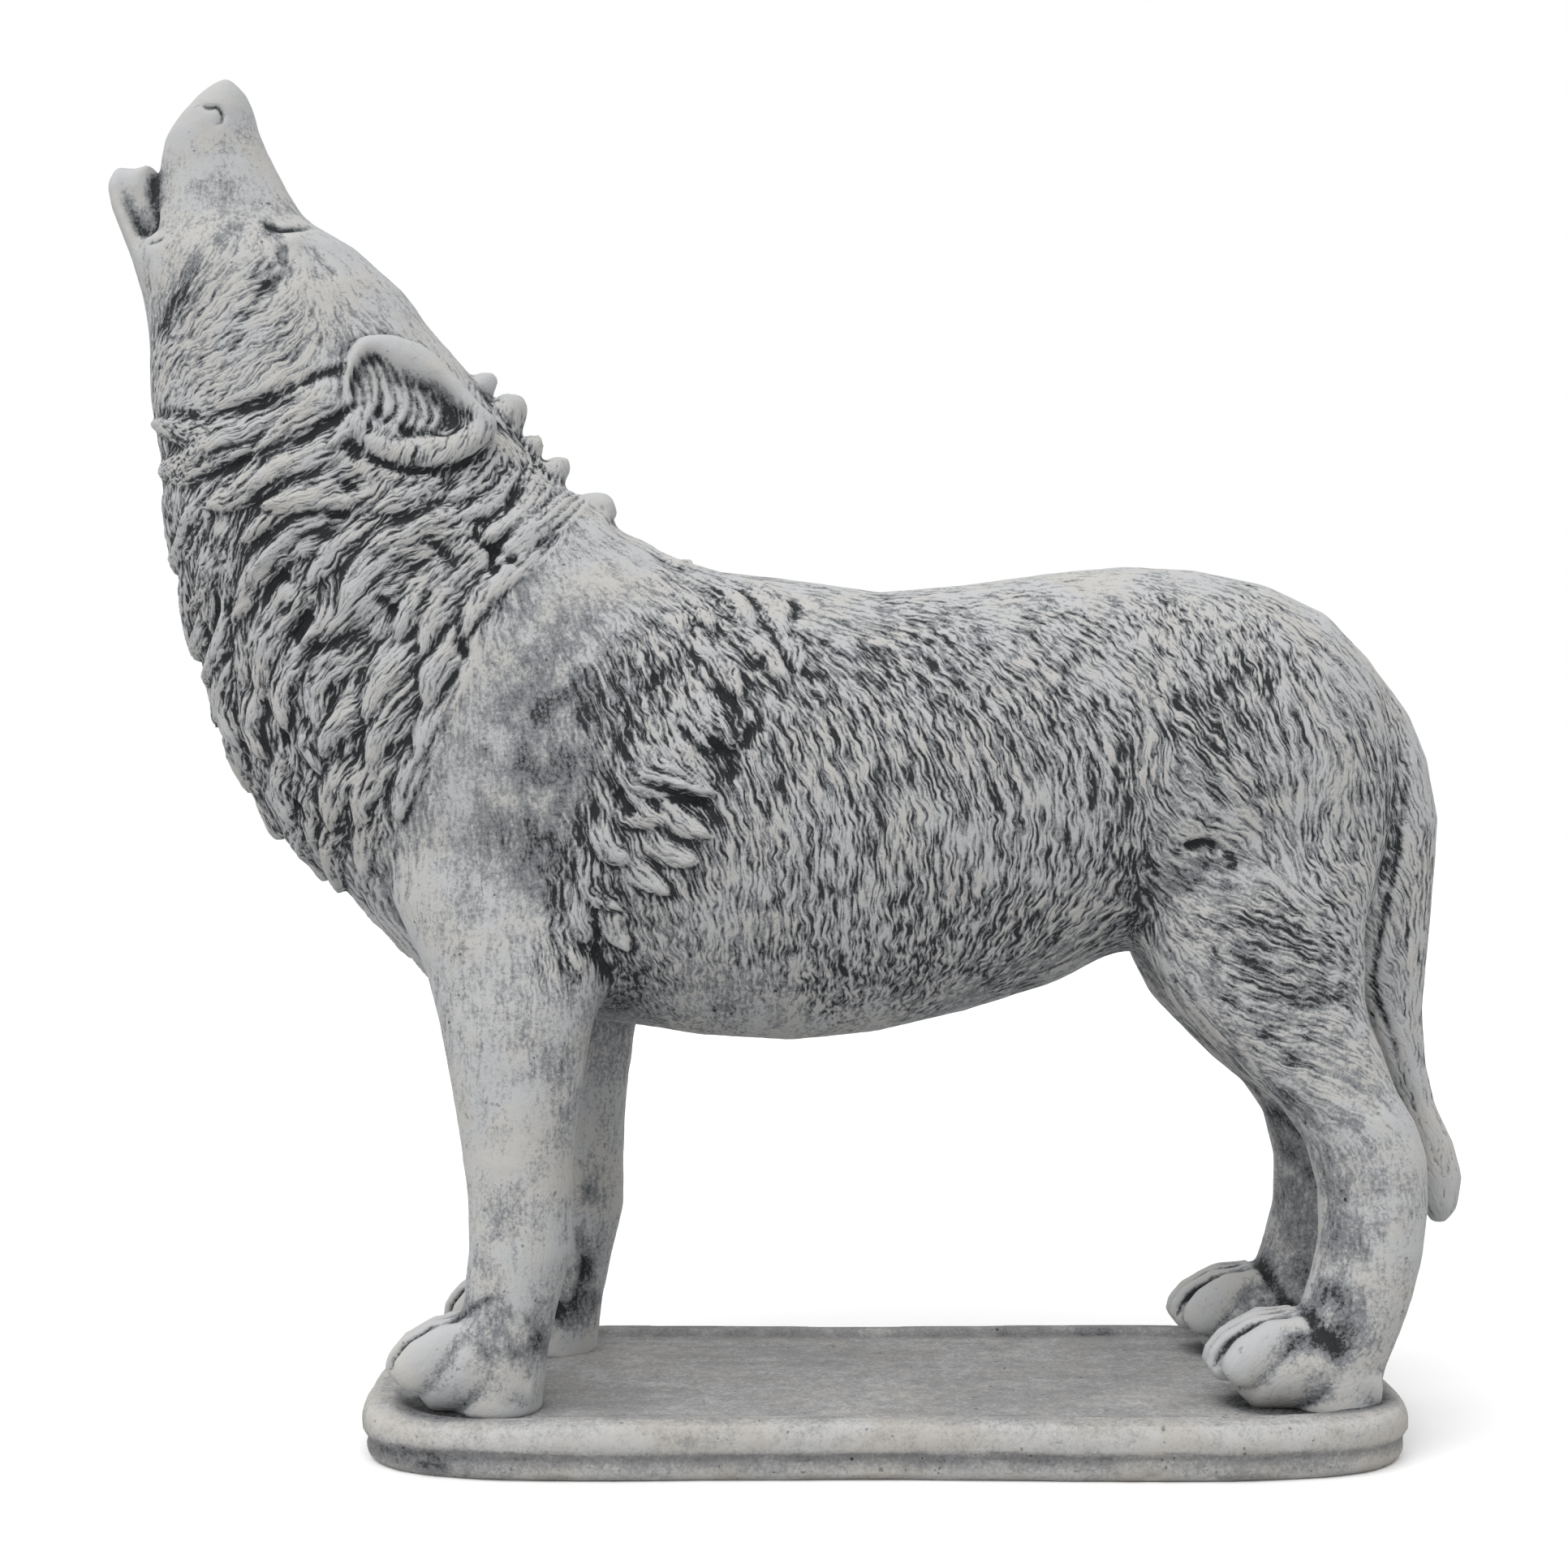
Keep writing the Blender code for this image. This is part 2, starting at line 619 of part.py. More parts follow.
def make_mane(forms):
    """The given locks, and rows of like ones where the neck has none of them."""
    for side in (-1, 1):
        ear_middle = ear_frame(side)[0]
        taken = make_drawn_locks(side, forms)
        for r in range(LOCK_ROWS):
            row_t = MANE_TOP + (MANE_BOTTOM - MANE_TOP) * r / (LOCK_ROWS - 1)
            top, bottom, half = slice_at(row_t)
            girth = math.pi * ((bottom - top).length / 2 + half) / 2
            count = max(4, round(girth / LOCK_SPACING))
            for k in range(count + 1):
                t = row_t + LOCK_STAGGER * (k % 2)
                turn = min(math.pi * (k + 0.5 * (r % 2)) / count, math.pi)
                make_row_lock(f"row_{r}_{k}_{side}", side, t, turn, (r, k), (taken, ear_middle), forms)
    for k, (x0, z0, x1, z1, thick) in enumerate(NAPE_TUFTS):
        root, tip = place(x0, 0, z0), place(x1, 0, z1)
        shares = [0, 0.4, 0.75, 0.93, 1]
        swell = [1, 1, 0.8, 0.5, 0.2]
        path = [root + (tip - root) * s for s in shares]
        widths = [across(thick) * NAPE_TUFT_FLATNESS * s for s in swell]
        heights = [along(thick) * s for s in swell]
        rope(f"nape_{k}", path, [Vector((0, 0, 1))] * len(path), widths, heights, forms)


def make_row_lock(name, side, t, turn, number, kept_clear, forms):
    """One lock of a row, slanting forward, unless it would start on a given lock or an ear."""
    r, k = number
    taken, ear_middle = kept_clear
    top, bottom, half = slice_at(t)
    girth = math.pi * ((bottom - top).length / 2 + half) / 2
    spread = (r * 5 + k * 3) % 7 / 6
    slant = LOCK_SLANT * min(1, max(0, math.pi - turn)) * (1 + LOCK_SLANT_VARIES * (spread - 0.5))
    slant = min(slant, LOCK_SLANT_LIMIT)
    gap_top = (slice_at(t)[0] - slice_at(t - 1)[0]).length
    gap_bottom = (slice_at(t)[1] - slice_at(t - 1)[1]).length
    gap = gap_top + (gap_bottom - gap_top) * (1 - math.cos(turn)) / 2
    length = LOCK_LENGTH * (1 + LOCK_LENGTH_VARIES * ((r * 3 + k * 5) % 7 / 6 - 0.5))
    drop = min(LOCK_DROP_LIMIT, length * math.sqrt(1 - slant * slant) / gap)
    sweep = slant * length / (girth / math.pi)
    start, end = (t, -side * turn), (t - drop, -side * (turn + sweep))
    middle = ((start[0] + end[0]) / 2, start[1] + (end[1] - start[1]) * LOCK_BEND)
    if any((on_trunk(*spot) - place).length < LOCK_APART for place in taken for spot in (start, middle)):
        return
    if any((on_trunk(*spot) - ear_middle).length < EAR_CLEARANCE for spot in (start, end)):
        return
    lock(name, start, middle, end, LOCK_WIDTH * (1 + LOCK_WIDTH_VARIES * (spread - 0.5)), forms)


def press_creases(whole):
    """Presses grooves into both flanks of a skin, each along a line of places seen from the side."""
    mesh = whole.data
    points = np.empty(len(mesh.vertices) * 3, np.float32)
    normals = np.empty(len(mesh.vertices) * 3, np.float32)
    mesh.vertices.foreach_get("co", points)
    mesh.vertices.foreach_get("normal", normals)
    points, normals = points.reshape(-1, 3), normals.reshape(-1, 3)
    sunk = np.zeros(len(points))
    for depth, half_width, *spots in CREASES:
        for side in (-1, 1):
            line = []
            for spot in spots:
                x, z = unseen(*spot)
                found, hit, normal, face = whole.ray_cast(place(x, side * WOLF_HEIGHT, z), (0, -side, 0))
                if found:
                    line.append(np.array(hit))
            for start, end in zip(line, line[1:]):
                step = end - start
                share = np.clip((points - start) @ step / (step @ step), 0, 1)
                away = np.linalg.norm(points - start - share[:, None] * step, axis=1)
                profile = np.clip(1 - (away / along(half_width)) ** 2, 0, 1)
                sunk = np.maximum(sunk, along(depth) * profile)
    mesh.vertices.foreach_set("co", (points - normals * sunk[:, None]).ravel())
    mesh.update()


def merged(forms):
    """All forms as one skin, smoothed and then thinned where it is flat."""
    bpy.ops.object.select_all(action="DESELECT")
    pieces = list(forms.objects)
    for piece in pieces:
        piece.select_set(True)
    bpy.context.view_layer.objects.active = pieces[0]
    bpy.ops.object.join()
    whole = bpy.context.object
    remesh = whole.modifiers.new("one skin", "REMESH")
    remesh.mode = "VOXEL"
    remesh.voxel_size = VOXEL
    smooth = whole.modifiers.new("smooth", "SMOOTH")
    smooth.factor = 0.5
    smooth.iterations = round(SMOOTH_ROUNDS)
    applied(whole)
    press_creases(whole)
    thin = whole.modifiers.new("thin", "DECIMATE")
    thin.ratio = WOLF_TRIANGLES / (2 * len(whole.data.polygons))
    return applied(whole)


def make_slab(collection):
    """The slab under the paws, with a rounded lip and a low rim round its top."""
    fore_x = along(FOREPAW_TIP[0])
    hind_x = along(HINDPAW[-1][0])
    front, back = fore_x - SLAB_MARGIN_FRONT, hind_x + SLAB_MARGIN_BACK
    half_depth = STANCE / 2 + PAW_WIDTH / 2 + SLAB_MARGIN_SIDE
    levels = [
        (-SLAB_STEP, 0),
        (0, SLAB_FOOT),
        (0, SLAB_LEDGE_LOW),
        (SLAB_STEP, SLAB_LEDGE_HIGH),
        (SLAB_STEP, SLAB_THICKNESS - SLAB_LIP),
        (SLAB_STEP - SLAB_LIP_BULGE, SLAB_THICKNESS - SLAB_LIP_BULGE),
        (SLAB_STEP - SLAB_LIP, SLAB_THICKNESS),
        (SLAB_STEP - SLAB_LIP - SLAB_RIM, SLAB_THICKNESS),
        (SLAB_STEP - SLAB_LIP - SLAB_RIM - SLAB_RIM_SLOPE, SLAB_THICKNESS - SLAB_DISH),
    ]
    rings = []
    for out, z in levels:
        ring = []
        for i in range(SLAB_POINTS):
            angle = 2 * math.pi * i / SLAB_POINTS
            c, s = math.cos(angle), math.sin(angle)
            x = math.copysign(abs(c) ** (2 / SLAB_CORNER_POWER), c)
            y = math.copysign(abs(s) ** (2 / SLAB_CORNER_POWER), s)
            half_length = (back - front) / 2
            ring.append(Vector(((front + back) / 2 + x * (half_length + out), y * (half_depth + out), z)))
        rings.append(ring)
    return skin("slab", rings, collection)


def stone():
    material = bpy.data.materials.new("cast_stone")
    material.use_nodes = True
    shader = material.node_tree.nodes["Principled BSDF"]
    shader.inputs["Base Color"].default_value = STONE_COLOUR
    shader.inputs["Roughness"].default_value = STONE_ROUGHNESS
    return material


def main():
    clear_scene()
    part = bpy.data.collections.new("howling wolf")
    forms = bpy.data.collections.new("forms")
    cutters = bpy.data.collections.new("cutters")
    for collection in (part, forms, cutters):
        bpy.context.scene.collection.children.link(collection)
    make_head(forms, cutters)
    make_legs(forms)
    make_mane(forms)
    wolf = merged(forms)
    slab = make_slab(part)
    join = slab.modifiers.new("join", "BOOLEAN")
    join.operation = "UNION"
    join.object = wolf
    applied(slab)
    slab.name = "howling_wolf"
    slab.data.materials.clear()
    slab.data.materials.append(stone())
    slab.data.shade_smooth()
    slab.data.set_sharp_from_angle(angle=math.radians(50))
    for thing in list(forms.objects) + list(cutters.objects):
        bpy.data.objects.remove(thing)


if __name__ == "__main__":
    main()
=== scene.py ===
import json
import math
import bpy
import numpy as np
from mathutils import Matrix, Vector
from mathutils.bvhtree import BVHTree
from mathutils.kdtree import KDTree

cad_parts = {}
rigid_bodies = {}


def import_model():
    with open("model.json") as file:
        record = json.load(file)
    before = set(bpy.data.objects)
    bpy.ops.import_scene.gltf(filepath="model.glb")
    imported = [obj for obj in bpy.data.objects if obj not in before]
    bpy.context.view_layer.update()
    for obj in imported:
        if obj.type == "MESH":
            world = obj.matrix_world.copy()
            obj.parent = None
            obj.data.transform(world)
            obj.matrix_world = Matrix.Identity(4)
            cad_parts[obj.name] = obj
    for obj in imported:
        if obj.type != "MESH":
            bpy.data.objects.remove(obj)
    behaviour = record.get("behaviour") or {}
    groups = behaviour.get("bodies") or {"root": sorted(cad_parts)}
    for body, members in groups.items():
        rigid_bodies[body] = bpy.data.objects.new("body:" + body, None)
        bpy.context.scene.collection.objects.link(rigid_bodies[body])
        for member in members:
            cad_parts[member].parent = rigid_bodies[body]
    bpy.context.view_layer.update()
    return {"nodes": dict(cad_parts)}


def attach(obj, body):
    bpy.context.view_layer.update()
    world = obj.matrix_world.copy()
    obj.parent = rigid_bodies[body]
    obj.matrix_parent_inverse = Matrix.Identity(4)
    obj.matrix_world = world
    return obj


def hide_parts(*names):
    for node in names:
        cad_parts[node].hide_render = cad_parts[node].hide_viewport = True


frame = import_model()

rng = np.random.default_rng(11)

# camera level with the wolf's middle, square picture
shot = {"x": -0.057, "away": 1.5, "height": 0.381, "pixelsPerMetre": 2071, "imagePixels": 1932}
bpy.ops.object.camera_add(location=(shot["x"], -shot["away"], shot["height"]), rotation=(math.pi / 2, 0, 0))
camera = bpy.context.object
camera.data.sensor_width = 36
camera.data.lens = 36 * shot["away"] * shot["pixelsPerMetre"] / shot["imagePixels"]
bpy.context.scene.camera = camera
eyePoint = np.array([shot["x"], -shot["away"], shot["height"]])


def onlySelect(*things):
    bpy.ops.object.select_all(action="DESELECT")
    for thing in things:
        thing.select_set(True)
    bpy.context.view_layer.objects.active = things[0]


def pointsOf(thing):
    flat = np.empty(len(thing.data.vertices) * 3, np.float32)
    thing.data.vertices.foreach_get("co", flat)
    return flat.reshape(-1, 3).astype(float)


def normalsOf(thing):
    flat = np.empty(len(thing.data.vertices) * 3, np.float32)
    thing.data.vertices.foreach_get("normal", flat)
    return flat.reshape(-1, 3).astype(float)


def edgesOf(thing):
    flat = np.empty(len(thing.data.edges) * 2, np.int32)
    thing.data.edges.foreach_get("vertices", flat)
    return flat.reshape(-1, 2)


def setPoints(thing, points):
    thing.data.vertices.foreach_set("co", np.asarray(points, np.float32).ravel())
    thing.data.update()


def unit(vectors):
    length = np.linalg.norm(vectors, axis=-1, keepdims=True)
    return vectors / np.maximum(length, 1e-9)


def smoothStep(low, high, values):
    share = np.clip((values - low) / (high - low), 0, 1)
    return share * share * (3 - 2 * share)


def addModifier(thing, kind, **settings):
    onlySelect(thing)
    change = thing.modifiers.new(kind.lower(), kind)
    for key, value in settings.items():
        setattr(change, key, value)
    bpy.ops.object.modifier_apply(modifier=change.name)


class Averager:
    # moves values towards those of their neighbours, round by round
    def __init__(self, edges, count):
        self.a, self.b, self.count = edges[:, 0], edges[:, 1], count
        self.degree = np.maximum(np.bincount(np.r_[self.a, self.b], minlength=count), 1)

    def once(self, values):
        total = np.bincount(self.a, values[self.b], self.count)
        total += np.bincount(self.b, values[self.a], self.count)
        return total / self.degree

    def spread(self, values, rounds, share=0.7):
        values = np.array(values, float)
        columns = values.reshape(len(values), -1)  # a view, changed in place
        for turn in range(rounds):
            for k in range(columns.shape[1]):
                columns[:, k] += share * (self.once(columns[:, k]) - columns[:, k])
        return values


noiseTable = np.random.default_rng(5).uniform(-1, 1, 65536)
hashPrimes = (73856093, 19349663, 83492791)
seedStep = 7919


def cloudNoise(points, size, seed=0):
    # soft random values on a lattice of the given size
    grid = points / size
    cell = np.floor(grid).astype(np.int64)
    inner = grid - cell
    inner = inner * inner * (3 - 2 * inner)
    total = 0
    for dx in (0, 1):
        for dy in (0, 1):
            for dz in (0, 1):
                corner = (cell + (dx, dy, dz)) * hashPrimes
                key = corner[:, 0] ^ corner[:, 1] ^ corner[:, 2]
                weight = (inner[:, 0] if dx else 1 - inner[:, 0]) * (inner[:, 1] if dy else 1 - inner[:, 1])
                weight = weight * (inner[:, 2] if dz else 1 - inner[:, 2])
                total = total + weight * noiseTable[(key + seed * seedStep) % len(noiseTable)]
    return total


def patchNoise(points, size, seed=0):
    total = cloudNoise(points, size, seed) + 0.5 * cloudNoise(points, size / 2, seed + 1)
    return total + 0.25 * cloudNoise(points, size / 4, seed + 2)


# base forms of the wolf in millimetres, which faces -x
# a slice: upper point x and z, lower point x and z above the slab, half width
slabHigh = 33
trunkRows = [
    (306, 385, 300, 300, 22), (290, 424, 284, 262, 50), (262, 450, 256, 248, 70), (228, 466, 224, 245, 80),
    (185, 475, 183, 247, 84), (142, 477, 142, 249, 84), (100, 473, 100, 229, 84), (50, 466, 48, 213, 86),
    (0, 462, -4, 201, 88), (-50, 469, -52, 196, 90), (-95, 474, -104, 199, 91), (-128, 484, -158, 206, 90),
    (-150, 497, -210, 214, 89), (-160, 505, -262, 232, 86), (-170, 512, -308, 276, 82),
    (-184, 522, -352, 316, 80), (-200, 536, -386, 372, 78), (-216, 554, -406, 432, 77),
    (-232, 574, -420, 488, 76), (-246, 594, -427, 536, 72), (-262, 613, -432, 576, 66),
    (-284, 641, -434, 612, 60), (-312, 666, -437, 636, 54), (-336, 680, -443, 656, 44),
    (-345, 688, -445, 666, 34),
]
muzzleRows = [
    (-330, 668, -436, 650, 40), (-343, 686, -434, 676, 34), (-352, 700, -431, 690, 29),
    (-360, 715, -428, 705, 26), (-366, 727, -427, 718, 24.5), (-370, 738, -424, 732, 24),
    (-373, 749, -415, 745, 22), (-377, 758, -404, 757, 17), (-382, 763, -396, 763, 12),
    (-386, 767, -391, 767, 4),
]
jawRows = [
    (-400, 600, -429, 600, 34), (-408, 622, -432, 624, 31), (-416, 642, -438, 643, 28),
    (-426, 657, -443, 658, 26), (-434, 672, -449, 673, 23.5), (-441, 686, -455, 688, 21),
    (-444, 700, -458, 702, 18.5), (-444, 709, -455, 711, 14), (-446, 716, -450, 717, 6),
]
tailRows = [
    (255, 400, 293, 420, 24), (265, 375, 312, 395, 26), (272, 350, 325, 362, 27), (272, 322, 331, 327, 27),
    (268, 290, 329, 293, 27), (270, 250, 325, 252, 26), (280, 215, 322, 215, 22), (294, 185, 324, 182, 18),
    (306, 160, 330, 157, 15), (313, 140, 340, 137, 15), (318, 117, 346, 115, 14), (322, 98, 343, 96, 12),
    (328, 87, 336, 87, 6),
]
# a leg's slice ends with its distance from the middle, as a share of half the stance
forelegRows = [
    (-280, 362, -172, 366, 24, 0.48), (-292, 330, -155, 330, 34, 0.54), (-282, 280, -152, 280, 36, 0.64),
    (-262, 240, -158, 236, 36, 0.74), (-254, 214, -165, 208, 35, 0.82), (-250, 196, -169, 190, 33, 0.86),
    (-245, 171, -173, 171, 31, 0.9), (-240, 143, -176, 143, 29, 0.94), (-236, 114, -177, 114, 28, 0.97),
    (-235, 86, -177, 86, 28, 1), (-238, 57, -184, 57, 28, 1), (-240, 30, -190, 30, 28, 1),
    (-242, 0, -194, 0, 27, 1),
]
hindlegRows = [
    (172, 352, 262, 366, 22, 0.46), (158, 326, 276, 340, 34, 0.5), (150, 300, 284, 318, 39, 0.54),
    (146, 276, 286, 298, 40, 0.58), (150, 250, 279, 262, 38, 0.64), (163, 224, 278, 225, 34, 0.7),
    (184, 203, 285, 198, 32, 0.76), (206, 181, 293, 173, 30, 0.82), (226, 165, 303, 156, 29, 0.87),
    (240, 145, 309, 136, 28, 0.91), (247, 118, 309, 110, 27, 0.95), (247, 90, 306, 82, 27, 0.98),
    (242, 68, 299, 57, 28, 1), (235, 46, 292, 38, 29, 1), (232, 20, 284, 19, 28, 1), (230, 0, 278, 0, 27, 1),
]
forepawRows = [
    (-262, 20, -262, 2, 17.4), (-254, 33, -255, 0, 23.2), (-244, 46, -246, 0, 26.7),
    (-234, 54, -236, 0, 28.4), (-222, 52, -224, 0, 28.1), (-206, 38, -207, 0, 26.1),
    (-197, 22, -197, 0, 20.3),
]
hindpawRows = [
    (201, 20, 201, 2, 17.4), (209, 33, 209, 0, 23.2), (219, 44, 218, 0, 26.7), (230, 51, 230, 0, 28.4),
    (248, 50, 248, 0, 28.1), (268, 40, 268, 0, 26.1), (279, 24, 279, 0, 20.3),
]
wolf = {
    "stance": 148, "hindStance": 136, "farForelegBack": 20, "farForepawBack": 13, "pawSink": 6,
    "pawWide": 58, "toes": 4, "toeLong": 46, "toeWide": 16.5, "toeHigh": 27, "knuckleRise": 24,
    "toeShares": (0, 0.1, 0.3, 0.6, 1), "toeSwell": (0.45, 0.85, 1.06, 1.02, 0.8),
    "outerToesBack": 3.2, "toesClosing": 0.25,
    "forepawTip": (-279, 14), "hindpawTip": (184, 15),
    "mouthAt": (-441, 697), "mouthSizes": (13, 28, 46), "mouthLean": -14,
    "eyeAt": (-349, 704), "eyeBall": 15, "eyeSunk": 4.2,
    "voxel": 1.78, "coarseVoxel": 3.2,
}


def ringTube(sides, rings):
    # a filled circle drawn out ring by ring: the start of every rounded form
    bpy.ops.object.select_all(action="DESELECT")
    bpy.ops.mesh.primitive_circle_add(vertices=sides, radius=1, fill_type="NGON", location=(0, 0, 0))
    tube = bpy.context.object
    bpy.ops.object.mode_set(mode="EDIT")
    bpy.ops.mesh.select_all(action="SELECT")
    for ring in range(rings - 1):
        bpy.ops.mesh.extrude_region_move(TRANSFORM_OT_translate={"value": (0, 0, 1)})
    bpy.ops.mesh.select_all(action="SELECT")
    bpy.ops.mesh.normals_make_consistent(inside=False)
    bpy.ops.object.mode_set(mode="OBJECT")
    places = pointsOf(tube)
    ringOf = np.rint(places[:, 2]).astype(int)
    sideOf = np.rint(np.arctan2(places[:, 1], places[:, 0]) / (2 * math.pi / sides)).astype(int) % sides
    return tube, ringOf, sideOf


tubeStore = {}


def formFrom(name, grid):
    # a copy of the tube with its rings laid where the grid says
    rings, sides = grid.shape[:2]
    if (sides, rings) not in tubeStore:
        tubeStore[(sides, rings)] = ringTube(sides, rings)
    tube, ringOf, sideOf = tubeStore[(sides, rings)]
    made = bpy.data.objects.new(name, tube.data.copy())
    bpy.context.collection.objects.link(made)
    setPoints(made, grid[ringOf, sideOf])
    return made


def sliceForm(name, rows, middles, sides=40, back=0):
    turn = np.arange(sides) * 2 * math.pi / sides
    grid = np.zeros((len(rows), sides, 3))
    for r, row in enumerate(rows):
        sink = wolf["pawSink"]
        top = np.array([row[0], middles[r], row[1] + slabHigh - (sink if row[1] == 0 else 0)], float)
        low = np.array([row[2], middles[r], row[3] + slabHigh - (sink if row[3] == 0 else 0)], float)
        middle, reach = (top + low) / 2, (top - low) / 2
        grid[r] = middle + np.outer(np.cos(turn), reach)
        grid[r, :, 1] += row[4] * np.sin(turn)
    grid[:, :, 0] += back
    return formFrom(name, grid / 1000)


def roundForm(name, middle, sizes, turn=Matrix.Identity(4)):
    onlySelect(bpy.context.scene.camera)
    bpy.ops.mesh.primitive_uv_sphere_add(segments=40, ring_count=20, radius=0.5)
    made = bpy.context.object
    made.name = name
    made.data.transform(Matrix.Translation(Vector(middle)) @ turn @ Matrix.Diagonal((*sizes, 1)))
    return made


def ropeForm(name, path, ups, widths, heights, section):
    # section gives the ring's shape: across and up for each side, in shares of half the width and height
    path, ups = np.asarray(path), np.asarray(ups)
    ahead = np.gradient(path, axis=0)
    ahead = unit(ahead)
    aside = unit(np.cross(ahead, ups))
    up = np.cross(aside, ahead)
    wide, high = np.asarray(widths)[:, None, None] / 2, np.asarray(heights)[:, None, None] / 2
    across = aside[:, None] * wide * section[None, :, :1]
    return formFrom(name, path[:, None] + across + up[:, None] * high * section[None, :, 1:2])


def roundSection(sides):
    turn = np.arange(sides) * 2 * math.pi / sides
    return np.stack([np.cos(turn), np.sin(turn)], 1)


forms = []
forms.append(sliceForm("trunk", trunkRows, [0] * len(trunkRows), 64))
forms.append(sliceForm("muzzle", muzzleRows, [0] * len(muzzleRows)))
jaw = sliceForm("jaw", jawRows, [0] * len(jawRows))
mouthX, mouthZ = wolf["mouthAt"]
mouthTurn = Matrix.Rotation(math.radians(wolf["mouthLean"]), 4, "Y")
mouth = roundForm("mouth", (mouthX / 1000, 0, (mouthZ + slabHigh) / 1000),
                  [size / 1000 for size in wolf["mouthSizes"]], mouthTurn)
addModifier(jaw, "BOOLEAN", operation="DIFFERENCE", object=mouth)
bpy.data.objects.remove(mouth)
forms.append(jaw)
tonguePath = np.array([(-424, 0, 655), (-434, 0, 682), (-440, 0, 700), (-443, 0, 713)], float)
tonguePath[:, 2] += slabHigh
forms.append(ropeForm("tongue", tonguePath / 1000, [(1, 0, 0)] * 4, np.array([28, 34, 36, 33]) / 1000,
                      np.array([22, 23, 25, 24]) / 1000, roundSection(16)))
forms.append(sliceForm("tail", tailRows, [0] * len(tailRows)))
for side, word in ((-1, "Near"), (1, "Far")):
    legBack = wolf["farForelegBack"] if side > 0 else 0
    pawBack = wolf["farForepawBack"] if side > 0 else 0
    for kind, half, leg, paw, tip, back, shift in (
            ("fore", wolf["stance"] / 2, forelegRows, forepawRows, wolf["forepawTip"], legBack, pawBack),
            ("hind", wolf["hindStance"] / 2, hindlegRows, hindpawRows, wolf["hindpawTip"], 0, 0)):
        forms.append(sliceForm(kind + "Leg" + word, leg, [side * half * row[5] for row in leg], back=back))
        forms.append(sliceForm(kind + "Paw" + word, paw, [side * half] * len(paw), back=shift))
        pitch = (wolf["pawWide"] - wolf["toeWide"]) / (wolf["toes"] - 1)
        for k in range(wolf["toes"]):
            off = k - (wolf["toes"] - 1) / 2
            shares, swell = np.array(wolf["toeShares"]), np.array(wolf["toeSwell"])
            path = np.zeros((5, 3))
            path[:, 0] = tip[0] + wolf["outerToesBack"] * off * off + wolf["toeLong"] * shares + shift
            path[:, 1] = side * half + off * pitch * (1 - wolf["toesClosing"] * shares)
            path[:, 2] = tip[1] + slabHigh + wolf["knuckleRise"] * np.sin(shares * math.pi / 2)
            forms.append(ropeForm("toe", path / 1000, [(0, 0, 1)] * 5, wolf["toeWide"] * swell / 1000,
                                  wolf["toeHigh"] * swell / 1000, roundSection(16)))
print("base forms", len(forms))


def joined(name, things):
    onlySelect(*things)
    bpy.ops.object.join()
    whole = bpy.context.object
    whole.name = name
    return whole


def copyOf(thing, name):
    made = bpy.data.objects.new(name, thing.data.copy())
    bpy.context.collection.objects.link(made)
    return made


def treeOf(thing):
    bpy.context.view_layer.update()
    return BVHTree.FromObject(thing, bpy.context.evaluated_depsgraph_get())


# a plain coarse skin over the base forms, where the ears and eyes find their places
plain = joined("plain", [copyOf(form, "copy") for form in forms])
addModifier(plain, "REMESH", mode="VOXEL", voxel_size=wolf["coarseVoxel"] / 1000)
addModifier(plain, "SMOOTH", factor=0.5, iterations=3)
skinTree = treeOf(plain)


def seenAt(x, z):
    # the skin's point and normal behind a place of the picture, given in mm on the wolf's middle plane
    goal = Vector((x / 1000, 0, z / 1000))
    origin = Vector(eyePoint)
    hit, normal, index, far = skinTree.ray_cast(origin, (goal - origin).normalized())
    if hit is None:
        hit, normal, index, far = skinTree.find_nearest(goal)
    return np.array(hit), np.array(normal)


def mirrored(side):
    return np.array([1, -1, 1]) if side > 0 else np.array([1, 1, 1])


def splineThrough(points, count):
    # a smooth run through a few points, given as pairs or as one flat row
    points = np.asarray(points, float).reshape(-1, 2)
    ends = np.vstack([2 * points[0] - points[1], points, 2 * points[-1] - points[-2]])
    out = []
    for share in np.linspace(0, len(points) - 1, count):
        k = min(int(share), len(points) - 2)
        t = share - k
        a, b, c, d = ends[k], ends[k + 1], ends[k + 2], ends[k + 3]
        value = 2 * b + (c - a) * t
        value = value + (2 * a - 5 * b + 4 * c - d) * t * t
        out.append(0.5 * (value + (3 * b - a - 3 * c + d) * t ** 3))
    return np.array(out)


# the ear's outer edge and the edge of its hollow in the picture, from the root over the top to the tip
ear = {
    "outer": [(-319, 612), (-318, 632), (-309, 647), (-290, 649), (-270, 642), (-252, 624), (-238, 608),
              (-227, 597), (-231, 586), (-242, 577), (-254, 571), (-268, 568), (-284, 570), (-299, 575),
              (-313, 589)],
    "inner": [(-314, 612), (-311, 628), (-301, 636), (-289, 628), (-276, 623), (-262, 618), (-252, 608),
              (-246, 600), (-247, 595), (-253, 592), (-261, 590), (-270, 590), (-283, 589), (-298, 591),
              (-309, 598)],
    "middle": (-272, 606), "standsOff": 5, "opensAside": 1.1, "sides": 60,
    # share of the inner edge, share of the way to the outer edge, height in mm
    "rings": [(.05, 0, -9), (.45, 0, -8.5), (.8, 0, -6.5), (1, 0, -2.5), (1, .2, 2.2), (1, .5, 4.4),
              (1, .8, 3.4), (1, 1, -.5), (1, 1, -8), (.95, .9, -16), (.5, .5, -22), (.05, 0, -22)],
}


